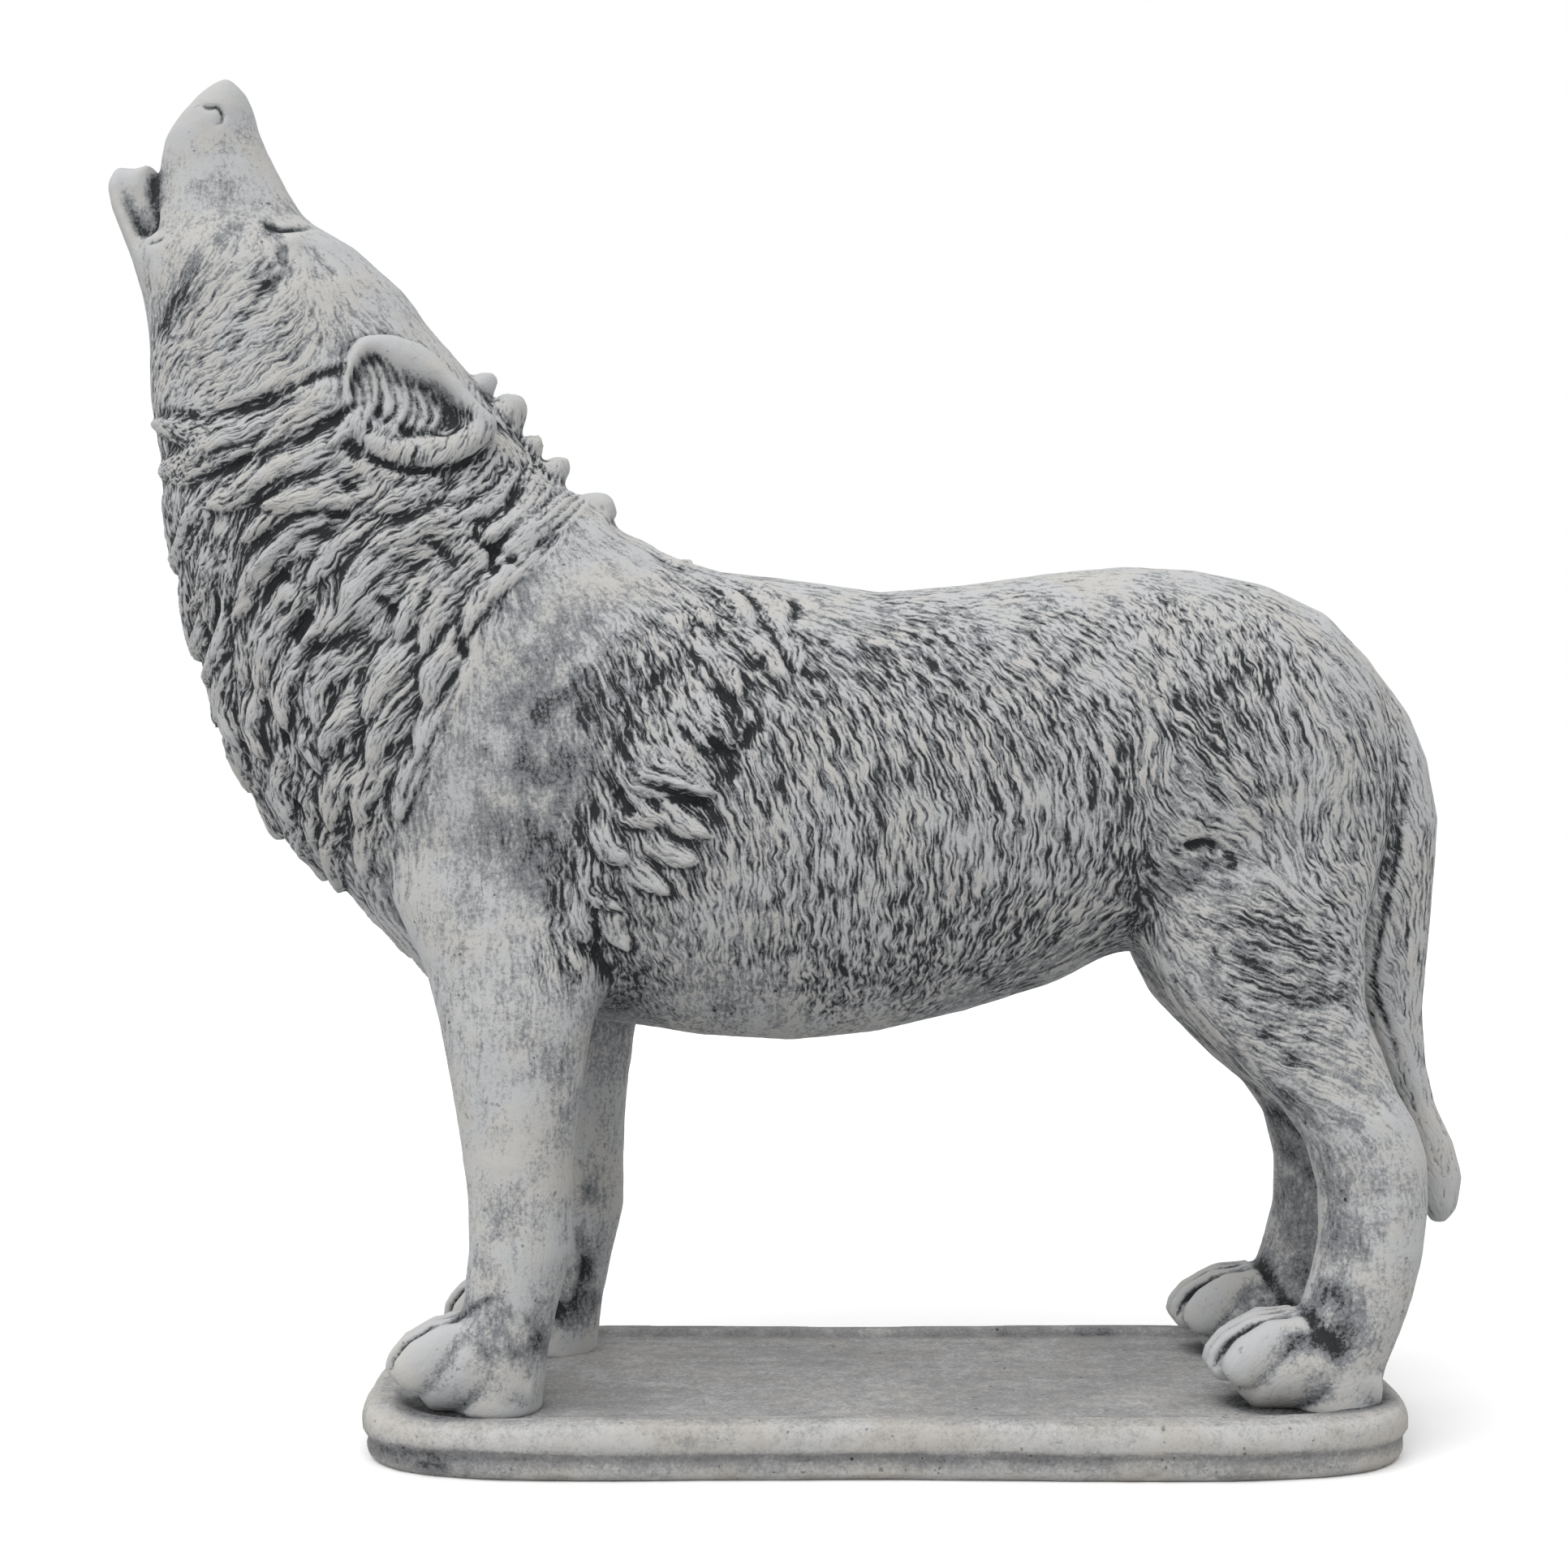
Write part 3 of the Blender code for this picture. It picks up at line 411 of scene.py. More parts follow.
def makeEar(side):
    spot, normal = seenAt(*ear["middle"])
    out = unit(normal + np.array([0, -ear["opensAside"], 0]))
    origin = spot + out * ear["standsOff"] / 1000
    outlines = []
    for key in ("inner", "outer"):
        outline = splineThrough(ear[key] + ear[key][:1], ear["sides"] + 1)[:-1]
        ways = unit(np.stack([outline[:, 0] / 1000, 0 * outline[:, 0], outline[:, 1] / 1000], 1) - eyePoint)
        outlines.append(eyePoint + ways * (np.dot(origin - eyePoint, out) / (ways @ out))[:, None])
    inner, outer = outlines
    middle = inner.mean(0)
    grid = []
    for share, way, high in ear["rings"]:
        ring = inner + (outer - inner) * way
        grid.append(middle + (ring - middle) * share + out * high / 1000)
    return formFrom("ear", np.array(grid) * mirrored(side))


ears = [makeEar(-1), makeEar(1)]
eyes = []
for side in (-1, 1):
    spot, normal = seenAt(*wolf["eyeAt"])
    eyeMiddle = (spot - normal * wolf["eyeSunk"] / 1000) * mirrored(side)
    eyes.append(roundForm("eye", eyeMiddle, [wolf["eyeBall"] / 1000] * 3))

# tufts that stand off the nape, broad at the root with a blunt raised tip: root, tip, thickness at the tip
napeTufts = [
    ((-262, 606), (-229, 625), 13), ((-244, 584), (-213, 612), 19), ((-232, 566), (-201, 588), 13),
    ((-222, 552), (-185, 575), 15), ((-206, 520), (-160, 552), 23),
]
tuft = {"shares": (0, .25, .5, .75, .92, 1), "swell": (3, 2.5, 1.8, 1.25, .85, .3), "sag": 5, "rootWider": 14}
for (rootX, rootZ), (tipX, tipZ), thick in napeTufts:
    shares, swell = np.array(tuft["shares"]), np.array(tuft["swell"])
    path = np.stack([rootX + (tipX - rootX) * shares, 0 * shares, rootZ + (tipZ - rootZ) * shares], 1)
    path[:, 2] -= tuft["sag"] * np.sin(shares * math.pi)
    wide = thick * swell + tuft["rootWider"] * (1 - shares)
    forms.append(ropeForm("napeTuft", path / 1000, [(0, 0, 1)] * 6, wide / 1000, thick * swell / 1000,
                          roundSection(16)))

# one skin over everything, melted together where forms meet
skin = joined("wolfSkin", forms + ears + eyes)
addModifier(skin, "REMESH", mode="VOXEL", voxel_size=wolf["voxel"] / 1000)
points, edges = pointsOf(skin), edgesOf(skin)
averager = Averager(edges, len(points))
meltSpots = [
    (-215, 390, 80), (215, 388, 95), (-385, 692, 42), (-418, 650, 30), (275, 435, 45), (-222, 86, 18),
    (262, 88, 18), (150, 285, 42), (-150, 250, 40), (-350, 672, 26), (-300, 655, 20), (-268, 650, 16),
    (292, 300, 26), (290, 255, 26), (-443, 748, 9),
]
melting = {
    "rounds": 90, "share": 0.85, "toesBelow": 0.06,
    # the whole skin is evened a little, less at the paws and round the ear
    "evenRounds": 7, "even": 0.7, "crispEven": 0.3, "pawsBelow": 0.11,
    "earAt": (-0.275, 0.607), "earReach": 0.06, "normalRounds": 6,
}
melt = np.zeros(len(points))
for x, z, reach in meltSpots:
    away = np.hypot(points[:, 0] * 1000 - x, points[:, 2] * 1000 - z) / reach
    melt = np.maximum(melt, smoothStep(1.0, 0.6, away))
melt = np.where(points[:, 2] < melting["toesBelow"], 0, melt)
points = averager.spread(points, melting["rounds"], melting["share"] * melt)
earX, earZ = melting["earAt"]
byEar = np.hypot(points[:, 0] - earX, points[:, 2] - earZ) < melting["earReach"]
crisp = (points[:, 2] < melting["pawsBelow"]) | byEar
evening = np.where(crisp, melting["crispEven"], melting["even"])
points = averager.spread(points, melting["evenRounds"], evening)
setPoints(skin, points)
normals = normalsOf(skin)
bareNormals = unit(averager.spread(normals, melting["normalRounds"]))
skinTree = treeOf(skin)
print("one skin", len(points), "points")


# which way the hair runs: place in the picture (mm), heading in degrees, depth of hair, share of dark wash
combMarks = [
    (-20, 478, -28, .55, .35), (60, 488, -25, .5, .2), (120, 497, -28, .45, .15), (180, 497, -35, .45, .15),
    (240, 482, -35, .45, .12), (285, 450, -45, .5, .2), (315, 415, -60, .6, .25), (-50, 490, -30, .6, .4),
    (-20, 450, -50, .85, .6), (40, 455, -50, .85, .6), (90, 455, -48, .8, .5), (125, 448, -52, .9, .55),
    (-35, 420, -62, 1, .8), (20, 415, -62, 1, .8), (70, 410, -60, 1, .8), (115, 415, -55, 1, .8),
    (-55, 385, -75, 1, .7), (0, 380, -74, 1, .75), (50, 380, -75, 1, .7), (100, 385, -80, 1, .75),
    (-70, 340, -82, .9, .6), (-10, 340, -84, 1, .6), (40, 340, -88, 1, .6), (85, 350, -92, 1, .6),
    (125, 350, -97, .95, .6), (-80, 300, -88, .7, .45), (-30, 300, -90, .95, .6), (20, 295, -92, 1, .65),
    (70, 305, -104, 1, .6), (110, 305, -116, 1, .6), (132, 295, -122, .8, .5), (-90, 265, -92, .4, .35),
    (-30, 262, -92, .8, .6), (20, 260, -95, .8, .65), (60, 275, -108, .8, .6), (95, 280, -120, .6, .5),
    (-60, 240, -95, .2, .15), (0, 240, -95, .3, .2), (50, 255, -105, .3, .2), (110, 272, -125, .3, .2),
    (150, 470, -72, .9, .55), (178, 468, -84, .95, .55), (205, 470, -80, .9, .4), (235, 468, -58, .8, .3),
    (160, 440, -62, 1, .75), (185, 445, -82, 1, .85), (205, 440, -86, 1, .7), (228, 442, -74, .9, .5),
    (262, 445, -42, .8, .3), (288, 425, -40, .8, .35), (160, 415, -50, 1, .85), (190, 412, -62, 1, .95),
    (215, 410, -70, .9, .6), (245, 412, -50, .85, .6), (272, 402, -58, .95, .7), (296, 395, -62, .9, .5),
    (142, 395, -92, .9, .8), (160, 385, -38, .8, .45), (185, 382, -44, .95, .7), (205, 385, -58, .95, .65),
    (225, 385, -95, .8, .45), (243, 380, -118, .7, .35), (262, 380, -72, .8, .6), (285, 378, -56, .95, .7),
    (305, 370, -66, .7, .4), (160, 355, -36, .8, .45), (182, 360, -30, .8, .45), (206, 362, -58, .9, .55),
    (225, 360, -98, .8, .5), (245, 358, -80, .8, .4), (268, 355, -50, .95, .65), (290, 350, -52, .8, .5),
    (165, 330, -28, .5, .25), (192, 328, -12, .4, .1), (212, 338, -70, .8, .5), (232, 338, -55, .9, .5),
    (255, 330, -38, .9, .5), (280, 325, -45, .7, .45), (170, 305, -28, .7, .45), (200, 308, -26, .9, .6),
    (235, 305, -28, .95, .65), (265, 300, -32, .8, .5), (290, 300, -60, .6, .4), (165, 280, -30, .5, .4),
    (195, 280, -22, .8, .65), (235, 275, -18, .8, .6), (268, 272, -22, .7, .5), (215, 250, -12, .6, .35),
    (255, 240, -12, .5, .35), (285, 235, -30, .4, .3), (250, 215, -25, .3, .25), (285, 200, -50, .25, .25),
    (260, 170, -80, .12, .3), (280, 120, -90, .1, .35), (275, 80, -95, .08, .45), (245, 60, -150, .05, .3),
    (-172, 540, -42, .35, .15), (-150, 510, -45, .2, .12), (-110, 500, -35, .5, .4),
    (-180, 480, -72, .14, .2), (-200, 430, -78, .12, .22), (-215, 380, -82, .14, .22),
    (-180, 380, -80, .14, .35), (-235, 330, -88, .16, .25), (-200, 320, -85, .16, .25),
    (-260, 290, -95, .2, .25), (-215, 270, -90, .16, .3), (-170, 250, -85, .14, .5),
    (-210, 200, -90, .08, .2), (-210, 140, -90, .08, .3), (-210, 90, -90, .08, .35),
    (-240, 60, -150, .05, .3), (-392, 790, -80, 0, .1), (-395, 750, -80, .02, .22),
    (-415, 740, -90, .02, .25), (-450, 730, -95, .02, .1), (-400, 710, -85, .06, .25),
    (-425, 690, -95, .1, .35), (-375, 715, -85, .06, .22), (-395, 680, -100, .25, .3),
    (-435, 650, -95, .25, .3), (-420, 655, -120, .5, .3), (-385, 650, -140, .75, .4),
    (-350, 655, -150, .7, .35), (-415, 628, -152, .8, .4), (-380, 620, -156, .8, .35),
    (-345, 632, -150, .8, .45), (-330, 690, -60, .3, .3), (-305, 680, -48, .35, .15),
    (-330, 665, -100, .4, .3), (-300, 660, -60, .4, .2), (-275, 655, -44, .4, .15),
    (-250, 628, -42, .4, .15), (-270, 600, -80, .1, .2), (-245, 600, -80, .05, .2), (-222, 590, -95, .9, .6),
    (-200, 565, -120, .9, .6), (-180, 560, -45, .5, .2), (-240, 555, -118, 1, .7), (-290, 555, -125, 1, .55),
    (-335, 560, -150, 1, .6), (-385, 575, -160, 1, .65), (-428, 580, -130, .9, .5), (-400, 545, -130, 1, .7),
    (-428, 520, -95, .9, .5), (-365, 520, -118, 1, .8), (-320, 520, -118, 1, .7), (-270, 520, -138, 1, .7),
    (-225, 525, -118, 1, .7), (-195, 530, -125, .7, .4), (-400, 480, -108, 1, .75), (-355, 480, -108, 1, .8),
    (-310, 480, -130, 1, .75), (-265, 480, -122, 1, .7), (-235, 490, -112, .8, .5), (-405, 440, -100, 1, .7),
    (-360, 440, -95, 1, .75), (-315, 440, -115, 1, .75), (-270, 440, -112, 1, .6), (-375, 400, -92, 1, .75),
    (-335, 400, -95, 1, .75), (-290, 400, -108, 1, .65), (-345, 360, -88, 1, .75), (-300, 360, -98, 1, .65),
    (-315, 325, -88, .8, .6), (-285, 330, -95, .5, .4), (-100, 480, -55, .9, .6), (-70, 455, -52, .9, .65),
    (-115, 440, -68, 1, .8), (-85, 410, -62, 1, .8), (-125, 400, -65, 1, .8), (-100, 370, -62, 1, .8),
    (-145, 360, -68, 1, .8), (-115, 340, -70, .9, .6), (-160, 320, -76, 1, .8), (-165, 290, -80, .9, .8),
    (-140, 300, -80, .7, .55), (322, 380, -82, .8, .4), (322, 340, -88, .95, .5), (318, 300, -92, .95, .5),
    (305, 300, -84, .95, .7), (312, 250, -90, .95, .6), (312, 210, -85, .9, .5), (318, 170, -80, .8, .4),
    (330, 130, -80, .7, .4), (332, 105, -90, .5, .4),
]
combMarks = np.array(combMarks, float)


def inPicture(places, depth):
    # where places in mm show in the picture, for a depth given as a share of the camera's distance
    eyeX, eyeZ = shot["x"] * 1000, shot["height"] * 1000
    return eyeX + (places[:, 0] - eyeX) / depth, eyeZ + (places[:, 2] - eyeZ) / depth


def combAt(points):
    # blends the nearest marks: heading in the picture's plane, depth of hair, dark wash
    places = points * 1000
    x, z = inPicture(places, 1 + np.abs(places[:, 1]) / (shot["away"] * 1000))
    angles = np.radians(combMarks[:, 2])
    out = np.zeros((len(points), 4))
    for start in range(0, len(points), 20000):
        part = slice(start, start + 20000)
        far = (x[part, None] - combMarks[None, :, 0]) ** 2 + (z[part, None] - combMarks[None, :, 1]) ** 2
        weight = 1 / (far + 60) ** 2
        weight /= weight.sum(1, keepdims=True)
        out[part, 0] = weight @ np.cos(angles)
        out[part, 1] = weight @ np.sin(angles)
        out[part, 2] = weight @ combMarks[:, 3]
        out[part, 3] = weight @ combMarks[:, 4]
    return out


def tangentComb(points, normals):
    marks = combAt(points)
    comb = np.stack([marks[:, 0], np.zeros(len(points)), marks[:, 1]], 1)
    comb -= normals * (comb * normals).sum(1, keepdims=True)
    return unit(comb), marks[:, 2], marks[:, 3]


# seen places of the drawn locks, root to tip, width and height: mm in the picture
maneLocks = [
    # the cheek's folds
    (-335, 618, -372, 600, -408, 590, -436, 596, 24, 4.5),
    (-345, 606, -385, 588, -415, 570, -438, 566, 24, 5), (-318, 606, -338, 598, -356, 588, -374, 574, 24, 5),
    (-318, 588, -336, 582, -356, 572, -376, 556, 19, 5), (-352, 580, -368, 566, -384, 554, -404, 545, 20, 5),
    (-378, 576, -392, 562, -406, 546, -418, 530, 20, 4.5),
    (-300, 566, -322, 558, -344, 550, -368, 546, 22, 7), (-330, 560, -346, 552, -362, 541, -380, 524, 16, 4),
    (-314, 540, -332, 534, -350, 526, -372, 508, 22, 5.5),
    (-350, 534, -364, 516, -376, 498, -386, 476, 18, 6.5),
    (-398, 552, -410, 536, -418, 520, -423, 502, 20, 5), (-385, 536, -396, 516, -404, 500, -410, 484, 18, 5),
    (-258, 530, -284, 524, -308, 506, -322, 482, 26, 7), (-262, 512, -290, 504, -314, 486, -334, 464, 24, 6),
    (-236, 524, -258, 508, -276, 490, -288, 466, 22, 6), (-238, 500, -254, 492, -268, 478, -272, 456, 17, 5),
    (-286, 548, -308, 532, -326, 518, -340, 498, 20, 5), (-330, 512, -326, 496, -330, 478, -346, 462, 16, 7),
    (-346, 496, -360, 478, -370, 456, -366, 430, 20, 6), (-350, 460, -356, 444, -358, 430, -352, 414, 17, 6),
    (-366, 452, -374, 432, -374, 414, -364, 396, 18, 7), (-344, 456, -338, 438, -338, 420, -344, 400, 16, 6),
    (-290, 440, -310, 428, -326, 414, -331, 396, 20, 6), (-334, 434, -342, 416, -340, 402, -332, 386, 15, 5),
    (-350, 402, -357, 386, -356, 372, -347, 356, 19, 7), (-404, 504, -402, 486, -404, 468, -412, 450, 17, 6),
    (-386, 496, -390, 474, -396, 456, -400, 436, 17, 6), (-416, 516, -421, 498, -419, 482, -412, 464, 18, 6),
    (-408, 466, -410, 446, -404, 430, -395, 412, 19, 7), (-384, 460, -391, 438, -388, 420, -378, 402, 19, 7),
    (-298, 474, -318, 460, -334, 446, -342, 426, 20, 6), (-266, 474, -286, 458, -300, 440, -306, 416, 22, 6),
    (-243, 482, -254, 462, -266, 446, -270, 424, 18, 6), (-326, 476, -342, 460, -352, 446, -354, 428, 15, 4),
    (-266, 444, -284, 428, -298, 410, -304, 386, 22, 6), (-248, 454, -262, 436, -272, 416, -274, 394, 18, 5),
    (-308, 404, -320, 388, -327, 372, -325, 352, 20, 6), (-282, 412, -298, 394, -308, 376, -310, 354, 20, 6),
    (-264, 414, -276, 398, -284, 380, -286, 358, 17, 5), (-332, 390, -341, 374, -341, 358, -334, 342, 17, 6),
    (-381, 424, -386, 406, -381, 392, -370, 376, 19, 7), (-368, 396, -371, 378, -364, 364, -353, 348, 19, 7),
    (-316, 364, -327, 348, -327, 334, -318, 318, 18, 6), (-298, 374, -306, 358, -309, 342, -305, 324, 17, 5),
    (-345, 360, -347, 346, -341, 334, -330, 320, 19, 6.5),
    (-222, 598, -228, 578, -240, 562, -258, 550, 18, 6), (-206, 590, -214, 570, -228, 552, -250, 538, 20, 6),
    (-192, 572, -204, 556, -218, 540, -238, 524, 20, 6), (-176, 558, -192, 544, -210, 530, -230, 510, 20, 6),
    (-190, 538, -206, 524, -222, 508, -236, 488, 18, 5), (-252, 574, -264, 562, -280, 552, -302, 543, 20, 5),
    (-234, 554, -252, 542, -270, 534, -290, 524, 20, 5.5),
    (-210, 522, -226, 508, -240, 492, -248, 468, 18, 5), (-316, 634, -310, 614, -314, 596, -330, 580, 15, 5),
]
shoulderLocks = [
    (-134, 508, -124, 502, -108, 488, -98, 470, 18, 4), (-116, 506, -98, 500, -84, 488, -74, 470, 17, 4),
    (-92, 504, -74, 498, -60, 484, -56, 466, 16, 4), (-113, 486, -107, 469, -93, 454, -81, 430, 17, 5),
    (-96, 482, -80, 472, -66, 458, -54, 440, 17, 4.5), (-70, 484, -59, 472, -51, 460, -48, 446, 15, 3.5),
    (-121, 464, -113, 442, -102, 420, -86, 402, 22, 7), (-138, 450, -134, 428, -123, 406, -98, 374, 24, 6),
    (-156, 410, -152, 393, -138, 382, -97, 376, 20, 7), (-130, 462, -124, 440, -114, 418, -98, 398, 14, 4),
    (-148, 432, -146, 412, -136, 396, -112, 386, 16, 5), (-160, 392, -156, 378, -146, 364, -128, 356, 20, 6),
    (-132, 384, -126, 370, -116, 358, -100, 350, 18, 5), (-142, 366, -136, 350, -124, 340, -108, 334, 17, 5),
    (-168, 374, -167, 356, -160, 342, -146, 334, 18, 6), (-152, 350, -148, 336, -140, 326, -124, 316, 17, 5),
    (-172, 350, -173, 332, -168, 316, -152, 306, 19, 6), (-178, 334, -181, 316, -178, 300, -172, 280, 18, 6),
    (-162, 320, -161, 306, -158, 294, -148, 282, 17, 5), (-184, 312, -186, 298, -183, 286, -178, 268, 14, 4),
]
earStrands = [
    (-311, 636, -303, 625, -300, 612, -305, 599, 7.5, 2.6),
    (-303, 637, -294, 622, -291, 608, -297, 596, 7.5, 3),
    (-296, 636, -286, 620, -282, 606, -289, 590, 8, 3.2),
    (-287, 630, -280, 616, -277, 602, -282, 591, 6, 2.4),
    (-278, 622, -273, 609, -271, 600, -276, 591, 7, 2.2),
    (-268, 616, -264, 606, -263, 599, -267, 592, 6, 1.8),
]
mane = {
    "spacing": 22, "lockLong": (60, 100), "lockWide": (20, 32), "lockHigh": (3.4, 6.2), "curl": 58,
    "steps": 14, "lowest": 325, "clearOfEar": 52, "tries": 60000, "base": -2.4, "strandWide": 5.2,
    "strandHigh": 0.45, "drawnWider": 1.3, "drawnHigher": 1.1, "earWider": 1.25,
    "swell": ([0, .15, .4, .62, .8, .92, 1], [.6, .9, 1, .88, .6, .34, .08]),
    "rise": ([0, .2, .5, .85, .96, 1], [0, .25, .7, 1, .85, .3]),
}

bucketSize = 0.02
bucketKeys = np.floor(points / bucketSize).astype(int)
buckets = {}
order = np.lexsort((bucketKeys[:, 2], bucketKeys[:, 1], bucketKeys[:, 0]))
sortedKeys = bucketKeys[order]
breaks = np.nonzero(np.any(np.diff(sortedKeys, axis=0) != 0, axis=1))[0] + 1
for group in np.split(order, breaks):
    buckets[tuple(bucketKeys[group[0]])] = group


def pointsNear(low, high):
    first, last = np.floor(low / bucketSize).astype(int), np.floor(high / bucketSize).astype(int)
    found = [buckets[(i, j, k)] for i in range(first[0], last[0] + 1) for j in range(first[1], last[1] + 1)
             for k in range(first[2], last[2] + 1) if (i, j, k) in buckets]
    return np.concatenate(found) if found else np.zeros(0, int)


def nearestOnLine(row, ids):
    # for each point: distance to the line, share of its length, the line's way there, distance above the line
    place = points[ids]
    away, above = np.full(len(ids), 1e9), np.zeros(len(ids))
    share, piece = np.zeros(len(ids)), np.zeros(len(ids), int)
    over = np.cross(bareNormals[ids], row[-1] - row[0])
    over = unit(over * np.where(over[:, 2:] < 0, -1, 1))
    for k in range(len(row) - 1):
        step = row[k + 1] - row[k]
        t = np.clip(((place - row[k]) @ step) / max(step @ step, 1e-12), 0, 1)
        off = place - row[k] - t[:, None] * step
        distance = np.linalg.norm(off, axis=1)
        better = distance < away
        away[better], share[better], piece[better] = distance[better], (k + t[better]) / (len(row) - 1), k
        above[better] = (off * over).sum(1)[better]
    return away, share, unit(np.gradient(row, axis=0))[piece], above


lockHigh = np.zeros(len(points))
lockWay = np.zeros((len(points), 3))
lockStrand = np.zeros(len(points))


def addLock(spots, wide, high, sides=(-1, 1)):
    # a lock rises from its root to a proud pointed tip: soft above, steep below, grooved between its strands
    for side in sides:
        row = spots * mirrored(side)
        reach = wide / 2000
        ids = pointsNear(row.min(0) - reach, row.max(0) + reach)
        if len(ids) == 0:
            continue
        away, share, way, above = nearestOnLine(row, ids)
        wideHere = wide / 2000 * np.interp(share, *mane["swell"])
        across = np.clip(above / wideHere, -1, 1)
        profile = np.maximum(0, 1 - (away / wideHere) ** 2) ** (0.9 + 0.4 * across)
        rise = high * np.interp(share, *mane["rise"]) * profile
        strand = np.sin(across * math.pi * wide / mane["strandWide"] + 6 * share + high * 40)
        strand = strand * np.minimum(1, profile * 2)
        # locks that meet melt into each other at their roots, and the higher one leads
        weight = rise ** 3 / np.maximum(rise ** 3 + lockHigh[ids] ** 3, 1e-9)
        lockHigh[ids] = (lockHigh[ids] ** 5 + rise ** 5) ** 0.2
        lockWay[ids] += (way - lockWay[ids]) * weight[:, None]
        lockStrand[ids] += (strand - lockStrand[ids]) * weight


def drawnSpots(line, count=14):
    spots = np.array([seenAt(x, z)[0] for x, z in splineThrough(line, count)])
    spots[1:-1] = (spots[:-2] + 2 * spots[1:-1] + spots[2:]) / 4
    return spots


drawnRoots = []
for *line, wide, high in maneLocks + shoulderLocks:
    spots = drawnSpots(line)
    addLock(spots, wide * mane["drawnWider"], high * mane["drawnHigher"])
    drawnRoots += [spot * mirrored(side) for spot in spots[1:9:3] for side in (-1, 1)]

for *line, wide, high in earStrands:
    addLock(drawnSpots(line), wide * mane["earWider"], high)

# the rest of the mane is sown between the drawn locks, all the way round the neck
maneEdge = np.array([(-128, 560), (-150, 548), (-185, 530), (-212, 500), (-243, 462), (-252, 405),
                     (-270, 365), (-290, 335), (-300, 312)], float)
faceEdge = np.array([(-460, 604), (-430, 598), (-400, 594), (-365, 606), (-335, 616), (-318, 628),
                     (-270, 632), (-236, 634), (-200, 640)], float)


def sowLocks():
    places = points * 1000
    below = np.interp(places[:, 0], faceEdge[:, 0], faceEdge[:, 1])
    edge = np.interp(places[:, 2], maneEdge[::-1, 1], maneEdge[::-1, 0])
    inside = (places[:, 2] < below) & (places[:, 0] < edge) & (places[:, 2] > mane["lowest"])
    earMiddle = seenAt(*ear["middle"])[0] * 1000
    for side in (-1, 1):
        off = (places - earMiddle * mirrored(side)) * (1, 1, 1.25)
        inside &= np.linalg.norm(off, axis=1) > mane["clearOfEar"]
    candidates = np.nonzero(inside)[0]
    candidates = candidates[rng.permutation(len(candidates))[:mane["tries"]]]
    cell = mane["spacing"] / 1000
    grid = {}

    def remember(place):
        grid.setdefault(tuple(np.floor(place / cell).astype(int)), []).append(place)

    for place in drawnRoots:
        remember(place)
    sown = 0
    for index in candidates:
        place = points[index]
        key = np.floor(place / cell).astype(int)
        around = [q for dx in (-1, 0, 1) for dy in (-1, 0, 1) for dz in (-1, 0, 1)
                  for q in grid.get((key[0] + dx, key[1] + dy, key[2] + dz), ())]
        if around and (((np.array(around) - place) ** 2).sum(1).min() < cell * cell):
            continue
        remember(place)
        sown += 1
        long, wide, high = (rng.uniform(*mane[key]) for key in ("lockLong", "lockWide", "lockHigh"))
        long = long / 1000
        bend, phase = rng.choice([-1, 1]) * rng.uniform(0.4, 1) * mane["curl"], rng.uniform(-0.3, 0.3)
        p, n = Vector(place), Vector(bareNormals[index])
        spots = []
        for k in range(mane["steps"]):
            spots.append(np.array(p))
            way = tangentComb(np.array([p]), np.array([n]))[0][0]
            angle = math.radians(bend) * math.sin(2 * math.pi * (k / (mane["steps"] - 1) + phase))
            way = Matrix.Rotation(angle, 3, n) @ Vector(way)
            p, faceWay, face, far = skinTree.find_nearest(p + way * (long / (mane["steps"] - 1)))
            n = (n + faceWay * 0.6).normalized()
        addLock(np.array(spots), wide, high, sides=(-1,))
    return sown


print("sown locks", sowLocks())

comb, hair, soot = tangentComb(points, bareNormals)
onLock = smoothStep(0.2, 1.2, lockHigh)
comb = comb * (1 - onLock[:, None]) + lockWay * onLock[:, None]
comb = averager.spread(comb, 3)
comb -= bareNormals * (comb * bareNormals).sum(1, keepdims=True)
comb = unit(comb)

# hair direction kept in a grid of small cells, so that it can be followed through space
cellSize = 0.0035
gridLow = points.min(0) - 0.02
gridSize = np.ceil((points.max(0) + 0.02 - gridLow) / cellSize).astype(int)


def cellOf(places):
    cell = np.clip(np.floor((places - gridLow) / cellSize).astype(int), 0, gridSize - 1)
    return (cell[:, 0] * gridSize[1] + cell[:, 1]) * gridSize[2] + cell[:, 2]


total = int(np.prod(gridSize))
cells = cellOf(points)
field = np.stack([np.bincount(cells, comb[:, k], total) for k in range(3)], 1).reshape(*gridSize, 3)
for axis in range(3):
    field = field + 0.4 * (np.roll(field, 1, axis) + np.roll(field, -1, axis))
field = unit(field.reshape(-1, 3)).astype(np.float32)
print("hair directions")


def strands(places, ways, size, step, steps, seed):
    # random grain averaged along the hair on both sides of each point
    total = cloudNoise(places, size, seed)
    for sign in (-1, 1):
        spot, way = places.copy(), ways * sign
        for k in range(steps):
            spot = spot + way * step
            ahead = field[cellOf(spot)] * sign
            way = np.where(((ahead * ahead).sum(1) > 0.5)[:, None], ahead, way)
            total = total + cloudNoise(spot, size, seed) * (1 - 0.6 * k / steps)
    return total / total.std()


fineHair = strands(points, comb, 0.0023, 0.0014, 5, 3)
wideHair = strands(points, comb, 0.0042, 0.0028, 5, 9)
massHair = strands(points, comb, 0.011, 0.006, 4, 15)
print("strands")

